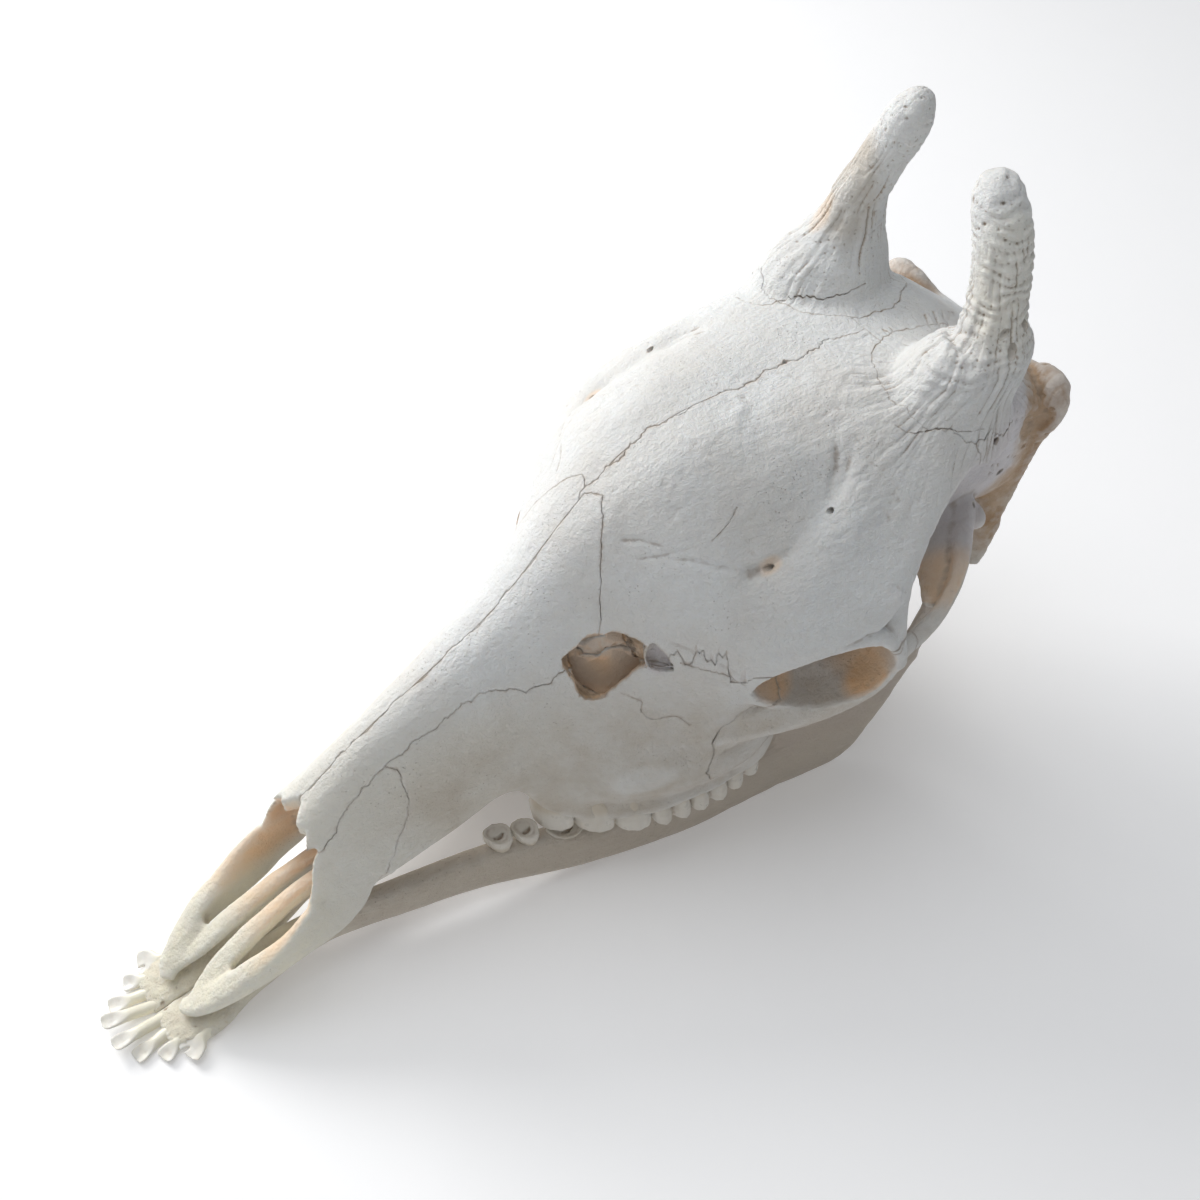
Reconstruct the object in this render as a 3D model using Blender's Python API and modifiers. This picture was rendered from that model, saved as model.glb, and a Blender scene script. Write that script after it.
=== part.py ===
# Giraffe skull, life size: the bones of the cranium with its two ossicones, and the two
# halves of the lower jaw set under it, each bone its own solid, parted along its sutures.
# The skull is modelled in its own frame: +X the animal's left, -Y the snout, +Z up, with
# the upper tooth row near z = 0. An empty then tips it on to its chin and jaw angles.

import math

import bmesh
import bpy
from mathutils import Matrix, Vector
from mathutils.geometry import tessellate_polygon

MM = 0.001

# Driving sizes, in millimetres: y and z of the lowest places of the chin and the jaw angle
CHIN_REST = (48.0, -38.5)
ANGLE_REST = (430.0, -88.0)
REST_CUT = 1.4
SUTURE_GAP = 0.36
CRANIUM_VOXEL = 2.4
JAW_VOXEL = 2.0
CRANIUM_TRIANGLES = 5700
JAW_TRIANGLES = 800
FAR = 400
PAST_MIDDLE = 3.0
WELD = 0.001

# Half sections of the cranium, each from the middle of the roof round to the middle of
# the palate or skull base: y, then (x, z) ten times.
HEAD_SECTIONS = [
    (128, [(0, 68), (8, 67), (15, 63), (21, 55), (26, 44), (29, 31),
          (30, 18), (24, 8), (12, 6), (0, 6)]),
    (150, [(0, 79), (8, 78), (15, 72), (21, 62), (27, 49), (30, 34),
          (31, 20), (26, 7), (12, 7), (0, 7)]),
    (180, [(0, 94), (8, 92), (15, 85), (22, 73), (28, 57), (32, 40),
          (33, 24), (28, 11), (13, 13), (0, 13)]),
    (215, [(0, 108), (9, 106), (18, 98), (25, 84), (31, 66), (35, 48),
          (36, 31), (30, 20), (15, 21), (0, 21)]),
    (240, [(0, 118), (10, 116), (21, 107), (30, 90), (36, 70), (40, 50),
          (41, 33), (31, 28), (18, 25), (0, 24)]),
    (252, [(0, 123), (11, 121), (22, 111), (31, 95), (38, 73), (43, 46),
          (47, 9), (33, 6), (19, 15), (0, 18)]),
    (270, [(0, 132), (12, 129), (25, 118), (35, 102), (43, 79), (50, 48),
          (60, -3), (41, -3), (22, 13), (0, 17)]),
    (300, [(0, 155), (14, 152), (28, 139), (41, 119), (52, 96), (62, 52),
          (76, -7), (53, -7), (26, 13), (0, 18)]),
    (325, [(0, 173), (17, 171), (35, 157), (52, 137), (67, 110), (74, 58),
          (83, -8), (56, -8), (28, 13), (0, 18)]),
    (350, [(0, 187), (22, 185), (47, 169), (71, 144), (91, 109), (87, 56),
          (85, -10), (58, -10), (28, 14), (0, 18)]),
    (380, [(0, 192), (26, 190), (55, 172), (83, 144), (110, 111), (86, 52),
          (80, -8), (60, -6), (28, 16), (0, 20)]),
    (410, [(0, 189), (28, 187), (58, 173), (87, 147), (117, 113), (72, 70),
          (58, 32), (45, 20), (24, 25), (0, 28)]),
    (440, [(0, 185), (29, 184), (61, 173), (89, 151), (113, 119), (68, 85),
          (54, 50), (36, 36), (18, 36), (0, 38)]),
    (470, [(0, 183), (30, 183), (61, 175), (86, 157), (99, 135), (70, 104),
          (60, 72), (44, 50), (20, 46), (0, 46)]),
    (500, [(0, 178), (29, 178), (57, 173), (79, 161), (87, 142), (69, 112),
          (64, 82), (48, 56), (22, 50), (0, 50)]),
    (530, [(0, 170), (27, 170), (52, 164), (69, 152), (76, 138), (67, 112),
          (65, 86), (50, 60), (22, 52), (0, 52)]),
    (558, [(0, 163), (24, 163), (46, 160), (61, 148), (69, 132), (68, 108),
          (65, 85), (57, 62), (24, 52), (0, 52)]),
    (582, [(0, 143), (22, 142), (42, 138), (55, 130), (62, 117), (63, 100),
          (61, 82), (53, 66), (24, 56), (0, 56)]),
    (600, [(0, 124), (20, 124), (36, 120), (47, 112), (52, 100), (51, 88),
          (48, 76), (40, 66), (20, 60), (0, 60)]),
]

# The rim of the left orbit, from its top round over the front and below to the back.
ORBIT_RIM = [(118, 408, 106), (101, 369, 99), (90, 355, 82), (94, 364, 66),
             (107, 389, 58), (119, 417, 62), (124, 427, 80), (122, 422, 98)]

# Bars and crests of the left side: (x, y, z, half width, half height) at each station.
JUGAL = [(66, 318, 33, 4, 7), (77, 338, 38, 5, 11), (88, 357, 45, 5, 13), (101, 378, 51, 5, 13),
         (111, 399, 57, 4.5, 12), (118, 418, 67, 4.5, 11), (119, 432, 77, 4.5, 8)]
ARCH = [(117, 420, 72, 4, 9), (117, 437, 76, 4.5, 7), (113, 462, 77, 4.2, 6),
        (105, 481, 76, 4.2, 6), (94, 498, 76, 5, 6.5), (77, 514, 74, 8, 10),
        (60, 527, 76, 12, 13)]
GLENOID = [(54, 508, 84, 18, 12), (70, 503, 75, 16, 8), (83, 495, 72, 15, 6), (95, 484, 72, 12, 4.5),
           (105, 471, 73, 8, 3.6)]
POSTORBITAL = [(82, 452, 148, 9, 14), (94, 447, 134, 8, 14), (104, 438, 121, 7, 11),
               (113, 431, 104, 6, 8), (119, 428, 90, 5.5, 7), (122, 427, 76, 6, 7)]
NUCHAL = [(-6, 592, 125, 6, 6), (20, 594, 123, 6, 6), (40, 595, 121, 6.5, 7),
          (54, 592, 129, 7.5, 7.5), (64, 590, 129, 7.5, 7.5), (66, 587, 115, 7, 8),
          (61, 582, 100, 7, 8.5), (57, 574, 81, 7, 12), (55, 568, 61, 6, 13),
          (56, 562, 40, 5, 11), (59, 557, 18, 4, 7), (60, 552, 4, 2.5, 4)]
PTERYGOID = [(27, 380, 14, 4, 10), (25, 408, 16, 3.2, 14), (22, 440, 25, 3.2, 15),
             (20, 474, 38, 3.2, 10)]
# The last value here is how far the upright side leans, in degrees.
PREMAXILLA = [(9, 38, -23, 4, 2.5, 0), (15, 45, -20, 7, 4, 0), (21.5, 60, -13, 8, 6, -6),
              (26, 76, -6, 7.5, 8.5, -12), (28, 91, -2.5, 6.5, 11.5, -14),
              (29.5, 105, 1.5, 5.6, 14.5, -10), (30, 120, 8, 4.6, 17.5, 0),
              (29, 131, 13, 3.8, 19, 6), (28, 138, 24, 3.2, 19, 14), (26.5, 147, 35, 2.8, 24, 17),
              (26, 158, 41, 2.8, 25, 18), (25.5, 172, 49, 3, 22, 20), (24, 184, 60, 3, 14, 23)]
PALATINE_PROCESS = [(15, 47, -20, 7.5, 3), (11.5, 60, -13, 8, 3.4), (8.5, 76, -5, 6.5, 4),
                    (7.4, 96, 2, 5.4, 5), (6.4, 120, 8, 4.6, 6), (6, 190, 18, 4, 6)]
# The front edge of the nasals from above: two points each side and a notch between.
NASAL_NOTCH = [(-60, 90), (60, 90), (60, 134), (22, 134), (19, 129.5), (12, 135), (8, 131),
               (0, 141), (-8, 131), (-12, 135), (-19, 129.5), (-22, 134), (-60, 134)]
# The fissure of the palate beside each palatine process: y, middle x and z, half width and height.
FISSURE = [(70, 17, -6, 2.5, 12), (84, 17.5, 0, 4, 14), (120, 18, 8, 5.5, 14), (152, 17, 12, 5, 12),
           (166, 16, 14, 3, 8)]
# The nasal cavity: y, half width, lowest and highest z.
NOSE = [(90, 26, 14, 60), (128, 24.5, 14, 58), (150, 25, 16, 66), (180, 25, 20, 76), (215, 22, 26, 82),
        (240, 12, 36, 74)]
CHOANA = [(0, 510, 22, 13, 12), (0, 450, 20, 15, 14), (0, 410, 24, 14, 13), (0, 384, 32, 9, 8)]
MAGNUM = [(0, 670, 88, 17, 15), (0, 606, 86, 17, 15), (0, 572, 86, 12, 11)]
CONDYLE = ((21, 604, 66), (17, 18, 20))
BULLA = ((40, 528, 48), (12, 17, 17))
MEATUS = ((66, 532, 70), (12, 8, 8))
HOLLOW = ((71, 572, 117), (8, 12, 17))
WINDOW = ((51, 300, 103), (13, 19, 17))

# Sections of the left half of the jaw, front to back: y, middle x, middle z, half width, half height.
JAW_BODY = [(24, 12, -32, 12, 3.5), (34, 14, -32, 14, 5), (48, 15, -32, 15, 6.5),
            (70, 12.5, -29, 11.5, 9.5), (100, 11.5, -25.5, 9.5, 11.5), (123, 15, -22, 7.5, 12),
            (160, 23, -24, 7.5, 13.5), (207, 32, -30, 8, 16), (240, 41, -36, 8.5, 19),
            (270, 48, -43, 9.5, 19.5), (326, 58, -52, 10, 22), (370, 62, -55, 9.5, 26),
            (405, 65, -57, 8, 29), (432, 67, -56, 6.5, 31)]
JAW_RAMUS = [(388, 65, -56, 6, 24), (404, 67, -44, 6.5, 44), (420, 70, -29, 6, 59),
             (436, 73, -21, 5.5, 67), (449, 75.5, -21, 5.5, 58), (460, 77.5, -22, 5.5, 37),
             (469, 79, -17, 5.5, 26), (478, 80, -8, 5.2, 17), (487, 81, 0, 5, 11)]
CORONOID = [(75, 443, 36, 4, 14), (78, 450, 60, 3.6, 12), (80, 456, 80, 3.2, 9),
            (81, 461, 94, 2.6, 5)]
CONDYLE_NECK = [(79, 480, -8, 4.5, 12), (79, 490, 5, 4.5, 9), (79, 497, 20, 4.5, 8),
                (78, 502, 35, 5.5, 7.5), (78, 505, 47, 8, 6)]
JAW_CONDYLE = ((78, 506, 53), (11, 7.5, 6))

# Ossicones: (x, y, z, half width, half depth) from their spread foot to the tip.
OSSICONE_LEFT = [(50, 513, 148, 40, 46), (52, 518, 160, 35, 41), (55, 524, 173, 28, 33),
                 (58, 535, 187, 21, 26), (55, 539, 203, 15.5, 17), (50, 545, 222, 14.5, 15),
                 (43, 549, 243, 15, 14.5), (33, 552, 260, 13.5, 12.5), (28, 553, 270, 6, 6)]
OSSICONE_RIGHT = [(-50, 513, 148, 40, 46), (-51, 519, 160, 37, 43), (-52, 526, 173, 31, 39),
                  (-52, 533, 187, 24, 30), (-50, 537, 202, 18, 20), (-47, 540, 220, 14, 15.5),
                  (-39, 546, 243, 12.5, 13.5), (-31, 551, 264, 13, 13), (-27, 554, 276, 11, 10.5),
                  (-25, 555, 285, 5, 5)]
# The cup that parts an ossicone from the roof under it: (z, middle x, middle y, half x, half y).
FOOT_CUP = [(134, 47, 515, 12, 16), (142, 48, 518, 29, 36), (152, 49, 520, 35, 42), (168, 48, 522, 38, 46),
            (200, 45, 536, 42, 46), (250, 44, 552, 43, 40), (300, 44, 556, 43, 40)]

# Cheek teeth, front to back: front y, back y, outer x at each end, bone z, worn z, lobes.
UPPER_TEETH = [(247, 265, 45, 57, 4, -11, 1), (265, 284, 57, 69, 0, -16, 1), (284, 303, 69, 77, -5, -20, 1),
               (303, 325, 77, 83, -8, -22, 2), (325, 349, 83, 85.5, -9, -22, 2),
               (349, 374, 85.5, 82, -9, -21.5, 2)]
LOWER_TEETH = [(217, 232, 41, 45, -14, -2, 1), (232, 246, 45, 50, -17, -5, 1),
               (250, 271, 51, 57, -23, -18, 1), (271, 296, 57, 64, -27, -23, 2),
               (296, 324, 64, 69, -29, -24.5, 2), (324, 362, 69, 72, -30, -25, 3)]
UPPER_TOOTH_WIDTH = 22
LOWER_TOOTH_WIDTH = 13
# How steeply the worn surfaces fall towards the cheek.
WEAR_SLOPE = 0.45
# Front teeth of the left half: tip, root, half width of the crown.
FRONT_TEETH = [((7.5, -1, -23.5), (4.5, 26, -32), 4.8), ((17.5, 5, -30), (12.5, 30, -32), 5.0),
               ((26, 17, -31), (18, 36, -32), 5.2), ((31.5, 28, -31), (24, 50, -31), 8)]

BONE = (0.86, 0.85, 0.81)
NASAL_BONE = (0.87, 0.87, 0.83)
CREAM_BONE = (0.84, 0.79, 0.66)
JAW_BONE = (0.80, 0.77, 0.73)


def clear_scene():
    for item in list(bpy.data.objects):
        bpy.data.objects.remove(item, do_unlink=True)


def new_object(name, mesh):
    item = bpy.data.objects.new(name, mesh)
    bpy.context.scene.collection.objects.link(item)
    return item


def discard(*items):
    for item in items:
        bpy.data.objects.remove(item, do_unlink=True)


def bake(item):
    """Applies the modifiers of an object to its mesh."""
    graph = bpy.context.evaluated_depsgraph_get()
    mesh = bpy.data.meshes.new_from_object(item.evaluated_get(graph))
    item.modifiers.clear()
    old = item.data
    item.data = mesh
    bpy.data.meshes.remove(old)


def through(stations, keys, steps):
    """Stations on a smooth curve that runs through the given ones."""
    last = len(stations) - 1
    slopes = []
    for i in range(last + 1):
        a, b = max(i - 1, 0), min(i + 1, last)
        slopes.append([(q - p) / (keys[b] - keys[a]) for p, q in zip(stations[a], stations[b])])
    result = [list(stations[0])]
    for i in range(last):
        span = keys[i + 1] - keys[i]
        for k in range(1, steps + 1):
            t = k / steps
            h0, h1 = 2 * t ** 3 - 3 * t ** 2 + 1, -2 * t ** 3 + 3 * t ** 2
            g0, g1 = t ** 3 - 2 * t ** 2 + t, t ** 3 - t ** 2
            result.append([h0 * p + h1 * q + span * (g0 * u + g1 * v) for p, q, u, v
                           in zip(stations[i], stations[i + 1], slopes[i], slopes[i + 1])])
    return result


def along(stations, steps):
    """The same for stations that start with a point: spaced by the distance between them."""
    keys = [0.0]
    for a, b in zip(stations, stations[1:]):
        keys.append(keys[-1] + math.dist(a[:3], b[:3]))
    return through(stations, keys, steps)


def round_ring(ring, steps):
    """A closed ring of points made smooth by a curve through them."""
    count = len(ring)
    wrapped = [ring[k % count] for k in range(-2, count + 3)]
    smooth = through(wrapped, list(range(len(wrapped))), steps)
    return smooth[2 * steps:(count + 2) * steps]


def from_rings(name, rings):
    """A closed loft through rings of equally many points, given in millimetres."""
    count = len(rings[0])
    points = [Vector(p) * MM for ring in rings for p in ring]
    faces = [tuple(range(count)), tuple(range(len(points) - count, len(points)))]
    for a in range(len(rings) - 1):
        for b in range(count):
            c = (b + 1) % count
            faces.append((a * count + b, a * count + c, (a + 1) * count + c, (a + 1) * count + b))
    return from_faces(name, points, faces)


def from_faces(name, points, faces):
    mesh = bpy.data.meshes.new(name)
    mesh.from_pydata(points, [], faces)
    work = bmesh.new()
    work.from_mesh(mesh)
    bmesh.ops.recalc_face_normals(work, faces=work.faces)
    if work.calc_volume(signed=True) < 0:
        bmesh.ops.reverse_faces(work, faces=work.faces)
    work.to_mesh(mesh)
    work.free()
    return new_object(name, mesh)


def squared(value, power):
    return math.copysign(abs(value) ** power, value)


def bar(name, stations, upright=(0, 0, 1), sides=12, steps=4, power=1.0):
    """A loft of ellipses along a path, squarer where the power is under 1; the first half size
    lies across it, the second upright."""
    fine = along(stations, steps)
    rings = []
    for i, (x, y, z, across, high, *lean) in enumerate(fine):
        before = Vector(fine[max(i - 1, 0)][:3])
        after = Vector(fine[min(i + 1, len(fine) - 1)][:3])
        forward = (after - before).normalized()
        side = forward.cross(Vector(upright)).normalized()
        if lean:
            side = Matrix.Rotation(-math.radians(lean[0]), 3, forward) @ side
        up = side.cross(forward)
        centre = Vector((x, y, z))
        ring = []
        for k in range(sides):
            turn = 2 * math.pi * k / sides
            wide = side * across * squared(math.cos(turn), power)
            ring.append(centre + wide + up * high * squared(math.sin(turn), power))
        rings.append(ring)
    return from_rings(name, rings)


def crest(name, stations, sides=12, steps=4):
    """A bar that may turn from lying to standing: its frame is carried along the path."""
    fine = along(stations, steps)
    rings = []
    up = Vector((0, 1, 0))
    for i, (x, y, z, across, deep) in enumerate(fine):
        before = Vector(fine[max(i - 1, 0)][:3])
        after = Vector(fine[min(i + 1, len(fine) - 1)][:3])
        forward = (after - before).normalized()
        side = forward.cross(up).normalized()
        up = side.cross(forward)
        centre = Vector((x, y, z))
        ring = []
        for k in range(sides):
            turn = 2 * math.pi * k / sides
            ring.append(centre + side * across * math.cos(turn) + up * deep * math.sin(turn))
        rings.append(ring)
    return from_rings(name, rings)


def slab(name, stations, sides=16, steps=4, power=1.0):
    """A loft of upright ellipses, squarer where the power is under 1:
    (y, middle x, middle z, half width, half height)."""
    rings = []
    for y, x, z, across, high in through(stations, [s[0] for s in stations], steps):
        ring = []
        for k in range(sides):
            turn = 2 * math.pi * k / sides
            wide = across * squared(math.cos(turn), power)
            ring.append((x + wide, y, z + high * squared(math.sin(turn), power)))
        rings.append(ring)
    return from_rings(name, rings)


def ellipsoid(name, centre, radii):
    mesh = bpy.data.meshes.new(name)
    work = bmesh.new()
    bmesh.ops.create_uvsphere(work, u_segments=20, v_segments=12, radius=1.0)
    size = Matrix.Diagonal((radii[0] * MM, radii[1] * MM, radii[2] * MM, 1))
    bmesh.ops.transform(work, matrix=Matrix.Translation(Vector(centre) * MM) @ size, verts=work.verts)
    work.to_mesh(mesh)
    work.free()
    return new_object(name, mesh)


def block(name, low, high):
    mesh = bpy.data.meshes.new(name)
    work = bmesh.new()
    bmesh.ops.create_cube(work, size=1.0)
    size = (Vector(high) - Vector(low)) * MM
    middle = (Vector(high) + Vector(low)) * MM / 2
    place = Matrix.Translation(middle) @ Matrix.Diagonal((*size, 1))
    bmesh.ops.transform(work, matrix=place, verts=work.verts)
    work.to_mesh(mesh)
    work.free()
    return new_object(name, mesh)


def mirrored(item):
    """A copy on the animal's other side."""
    mesh = item.data.copy()
    mesh.transform(Matrix.Diagonal((-1, 1, 1, 1)))
    mesh.flip_normals()
    return new_object(item.name + "_other", mesh)


def merged(name, items):
    """Puts closed meshes into one object, still as loose shells."""
    work = bmesh.new()
    for item in items:
        work.from_mesh(item.data)
    mesh = bpy.data.meshes.new(name)
    work.to_mesh(mesh)
    work.free()
    discard(*items)
    return new_object(name, mesh)


def remesh(item, voxel):
    skin = item.modifiers.new("Remesh", "REMESH")
    skin.mode = "VOXEL"
    skin.voxel_size = voxel * MM
    bake(item)


def soften(item, factor, repeats):
    relax = item.modifiers.new("Smooth", "SMOOTH")
    relax.factor = factor
    relax.iterations = repeats
    bake(item)


def thin_out(item, triangles):
    item.data.calc_loop_triangles()
    fewer = item.modifiers.new("Decimate", "DECIMATE")
    fewer.ratio = min(1.0, triangles / len(item.data.loop_triangles))
    fewer.use_collapse_triangulate = True
    bake(item)


def boolean(item, other, operation="DIFFERENCE", keep_other=False):
    """Both meshes are closed here, so the manifold solver holds where the exact one fails."""
    other.display_type = "WIRE"
    other.hide_render = True
    cut = item.modifiers.new("Boolean", "BOOLEAN")
    cut.operation = operation
    cut.solver = "MANIFOLD"
    cut.object = other
    bake(item)
    if not keep_other:
        discard(other)


def keep_largest(item):
    """Keeps the largest closed surface of an object's mesh."""
    work = bmesh.new()
    work.from_mesh(item.data)
    work.verts.ensure_lookup_table()
    group_of = [-1] * len(work.verts)
    groups = []
    for start in work.verts:
        if group_of[start.index] >= 0:
            continue
        group = [start]
        group_of[start.index] = len(groups)
        for vert in group:
            for edge in vert.link_edges:
                other = edge.other_vert(vert)
                if group_of[other.index] < 0:
                    group_of[other.index] = len(groups)
                    group.append(other)
        groups.append(group)
    if len(groups) > 1:
        extents = []
        for group in groups:
            size = [max(v.co[i] for v in group) - min(v.co[i] for v in group) for i in range(3)]
            extents.append(math.hypot(*size))
        best = extents.index(max(extents))
        spare = [v for v in work.verts if group_of[v.index] != best]
        bmesh.ops.delete(work, geom=spare, context="VERTS")
        work.to_mesh(item.data)
    work.free()


def without_fins(item):
    """Drops pairs of triangles that lie back to back, which cuts leave where a wall has no thickness,
    closes up edges shared by more than two faces, and says whether there were none."""
    item.data.calc_loop_triangles()
    numbers = {}
    points = []
    place = []
    for vert in item.data.vertices:
        key = tuple(round(value / (WELD * MM)) for value in vert.co)
        if key not in numbers:
            numbers[key] = len(points)
            points.append(vert.co.copy())
        place.append(numbers[key])
    faces = {}
    for triangle in item.data.loop_triangles:
        face = tuple(place[corner] for corner in triangle.vertices)
        corners = frozenset(face)
        if corners in faces:
            del faces[corners]
        elif len(corners) == 3:
            faces[corners] = face
    mesh = bpy.data.meshes.new(item.name)
    mesh.from_pydata(points, [], list(faces.values()))
    item.data = mesh
    work = bmesh.new()
    work.from_mesh(mesh)
    loose = [vert for vert in work.verts if not vert.link_faces]
    bmesh.ops.delete(work, geom=loose, context="VERTS")
    tangled = [edge for edge in work.edges if len(edge.link_faces) > 2]
    if tangled:
        bmesh.ops.collapse(work, edges=tangled)
    work.to_mesh(mesh)
    work.free()
    return not tangled


def mend(item):
    """Makes each edge the border of just two faces again."""
    for attempt in range(4):
        if without_fins(item):
            break
    keep_largest(item)


def take(body, region, side, name):
    """Parts a bone from the body: what lies in the region, with a suture's gap round it.
    The second side's region reaches over the middle, where the first has already been parted."""
    bone = new_object(name, body.data.copy())
    inner = SUTURE_GAP / 2 if side > 0 else -PAST_MIDDLE
    boolean(bone, for_side(region(inner, 0), side), "INTERSECT")
    boolean(body, for_side(region(inner - SUTURE_GAP, SUTURE_GAP), side))
    keep_largest(bone)
    return bone


def widened(outline, distance):
    """A closed outline moved outwards, corner by corner; further values are kept as they are."""
    following = outline[1:] + outline[:1]
    area = sum(a[0] * b[1] - b[0] * a[1] for a, b in zip(outline, following))
    outwards = math.copysign(1, area)
    result = []
    for i, corner in enumerate(outline):
        here = Vector(corner[:2])
        arriving = (here - Vector(outline[i - 1][:2])).normalized()
        leaving = (Vector(following[i][:2]) - here).normalized()
        first = Vector((arriving.y, -arriving.x)) * outwards
        second = Vector((leaving.y, -leaving.x)) * outwards
        middle = (first + second).normalized()
        moved = here + middle * distance / max(middle.dot(first), 0.67)
        result.append((moved.x, moved.y, *corner[2:]))
    return result


def column(name, outline, grow=0.0, high=FAR):
    """An upright region with a top-view outline of (x, y, z of its floor)."""
    wide = widened(outline, grow)
    count = len(wide)
    points = [Vector((x, y, z - 2 * grow)) * MM for x, y, z in wide]
    points += [Vector((x, y, high)) * MM for x, y, z in wide]
    floor = tessellate_polygon([[Vector((x, y, 0)) for x, y, z in outline]])
    faces = [tuple(corners) for corners in floor]
    faces += [tuple(corner + count for corner in corners) for corners in floor]
    for a in range(count):
        b = (a + 1) % count
        faces.append((a, b, count + b, count + a))
    return from_faces(name, points, faces)


def sideways(name, outline, near, far, grow=0.0):
    """A region with a side-view outline of (y, z), from near to far in x."""
    wide = widened(outline, grow)
    count = len(wide)
    points = [Vector((x, y, z)) * MM for x in (near, far) for y, z in wide]
    faces = [tuple(range(count)), tuple(range(count, 2 * count))]
    for a in range(count):
        b = (a + 1) % count
        faces.append((a, b, count + b, count + a))
    return from_faces(name, points, faces)


def for_side(item, side):
    """The item itself on the left, its mirror image on the right."""
    if side > 0:
        return item
    other = mirrored(item)
    discard(item)
    return other


def round_rim(size, shift, centre):
    """The orbit's rim drawn in towards its centre and moved along the orbit's axis."""
    ring = [[centre[i] + (p[i] - centre[i]) * size + shift[i] for i in range(3)] for p in ORBIT_RIM]
    return round_ring(ring, 3)


def head_loft():
    flat = [[y] + [value for point in half for value in point] for y, half in HEAD_SECTIONS]
    rings = []
    for row in through(flat, [row[0] for row in flat], 4):
        half = [(row[k], row[k + 1]) for k in range(1, len(row), 2)]
        whole = half + [(-x, z) for x, z in reversed(half[1:-1])]
        rings.append([(x, row[0], z) for x, z in round_ring(whole, 3)])
    head = from_rings("head", rings)
    boolean(head, block("under_nasals", (-60, 60, -30), (60, 139, 57)))
    boolean(head, column("notch", [(x, y, 0) for x, y in NASAL_NOTCH]))
    return head


def orbit_centre():
    return [sum(p[i] for p in ORBIT_RIM) / len(ORBIT_RIM) for i in range(3)]


def left_forms():
    """What is added to the loft of the head on the animal's left side."""
    centre = orbit_centre()
    cup = from_rings("orbit_cup", [
        round_rim(1.06, (2, -1, 0), centre), round_rim(1.12, (-3, 1, 0), centre),
        round_rim(1.08, (-14, 3, 2), centre), round_rim(0.95, (-32, 6, 8), centre),
        round_rim(0.75, (-54, 10, 12), centre)])
    return [cup, bar("jugal", JUGAL), bar("arch", ARCH), bar("glenoid", GLENOID),
            bar("postorbital", POSTORBITAL, upright=(0, 1, 0)), crest("nuchal", NUCHAL),
            bar("pterygoid", PTERYGOID), bar("premaxilla", PREMAXILLA, power=0.7),
            bar("palatine_process", PALATINE_PROCESS, power=0.7),
            ellipsoid("condyle", *CONDYLE), ellipsoid("bulla", *BULLA),
            ellipsoid("meatus", *MEATUS)]


def left_hollows():
    """What is cut from the left side: orbit, vacuity, palatal fissure and the hollow by the nape."""
    centre = orbit_centre()
    eye = from_rings("eye", [
        round_rim(1.06, (16, -9, 2), centre), round_rim(0.92, (0, 0, 0), centre),
        round_rim(0.84, (-12, 3, 2), centre), round_rim(0.74, (-30, 8, 8), centre),
        round_rim(0.50, (-50, 18, 12), centre), round_rim(0.15, (-64, 32, 14), centre)])
    return [eye, slab("fissure", FISSURE), ellipsoid("window", *WINDOW), ellipsoid("hollow", *HOLLOW)]


def build_cranium():
    left = left_forms()
    horns = [bar("ossicone", OSSICONE_LEFT, upright=(0, 1, 0), sides=18),
             bar("ossicone", OSSICONE_RIGHT, upright=(0, 1, 0), sides=18)]
    body = merged("cranium", [head_loft()] + [mirrored(item) for item in left] + left + horns)
    remesh(body, CRANIUM_VOXEL)
    nose_sections = [(y, 0, (low + high) / 2, wide, (high - low) / 2) for y, wide, low, high in NOSE]
    boolean(body, slab("nose", nose_sections, sides=20))
    for hollow in left_hollows():
        boolean(body, mirrored(hollow))
        boolean(body, hollow)
    boolean(body, bar("choana", CHOANA))
    boolean(body, bar("magnum", MAGNUM))
    keep_largest(body)
    remesh(body, CRANIUM_VOXEL)
    soften(body, 0.5, 2)
    thin_out(body, CRANIUM_TRIANGLES)
    keep_largest(body)
    return body


def foot_cup(inner, grow):
    rings = []
    for z, x, y, wide, deep in through(FOOT_CUP, [row[0] for row in FOOT_CUP], 2):
        ring = []
        for k in range(24):
            turn = 2 * math.pi * k / 24
            ring.append((x + (wide + grow) * math.cos(turn), y + (deep + grow) * math.sin(turn), z - grow))
        rings.append(ring)
    return from_rings("foot_cup", rings)


def nasal_region(inner, grow):
    sides = [(32, 90, 40), (24, 130, 52), (19, 150, 62), (16, 168, 70), (16, 186, 76), (19, 210, 84),
             (22, 239, 92), (30, 257, 94), (35, 269, 96), (38, 282, 100), (40, 301, 108), (28, 313, 118),
             (9, 330, 134)]
    ends = [(inner + grow, 325, 134), (inner + grow, 90, 40)]
    return column("nasal", sides + ends, grow)


def premaxilla_region(inner, grow):
    outline = [(15, -90), (128, -90), (146, 4), (158, 18), (170, 36), (180, 50), (186, 62),
               (187, 80), (160, 100), (110, 110), (15, 110)]
    return sideways("premaxilla", outline, inner, 60, grow)


def zygomatic_region(inner, grow):
    outline = [(335, 5), (331, 24), (338, 46), (356, 60), (378, 68), (402, 74), (412, 90),
               (446, 95), (442, 76), (441, 20)]
    return sideways("zygomatic", outline, 84 - grow, 160, grow)


def frontal_region(inner, grow):
    sides = [(28, 290, 104), (41, 301, 99), (56, 312, 104), (72, 330, 99), (92, 352, 93), (104, 352, 93),
             (160, 352, 93), (160, 505, 96)]
    ends = [(inner + grow, 505, 96), (inner + grow, 400, 98), (inner + grow, 290, 110)]
    return column("frontal", sides + ends, grow)


def maxilla_region(inner, grow):
    outline = [(60, -90), (392, -90), (392, 200), (60, 200)]
    return sideways("maxilla", outline, inner, 160, grow)


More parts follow.
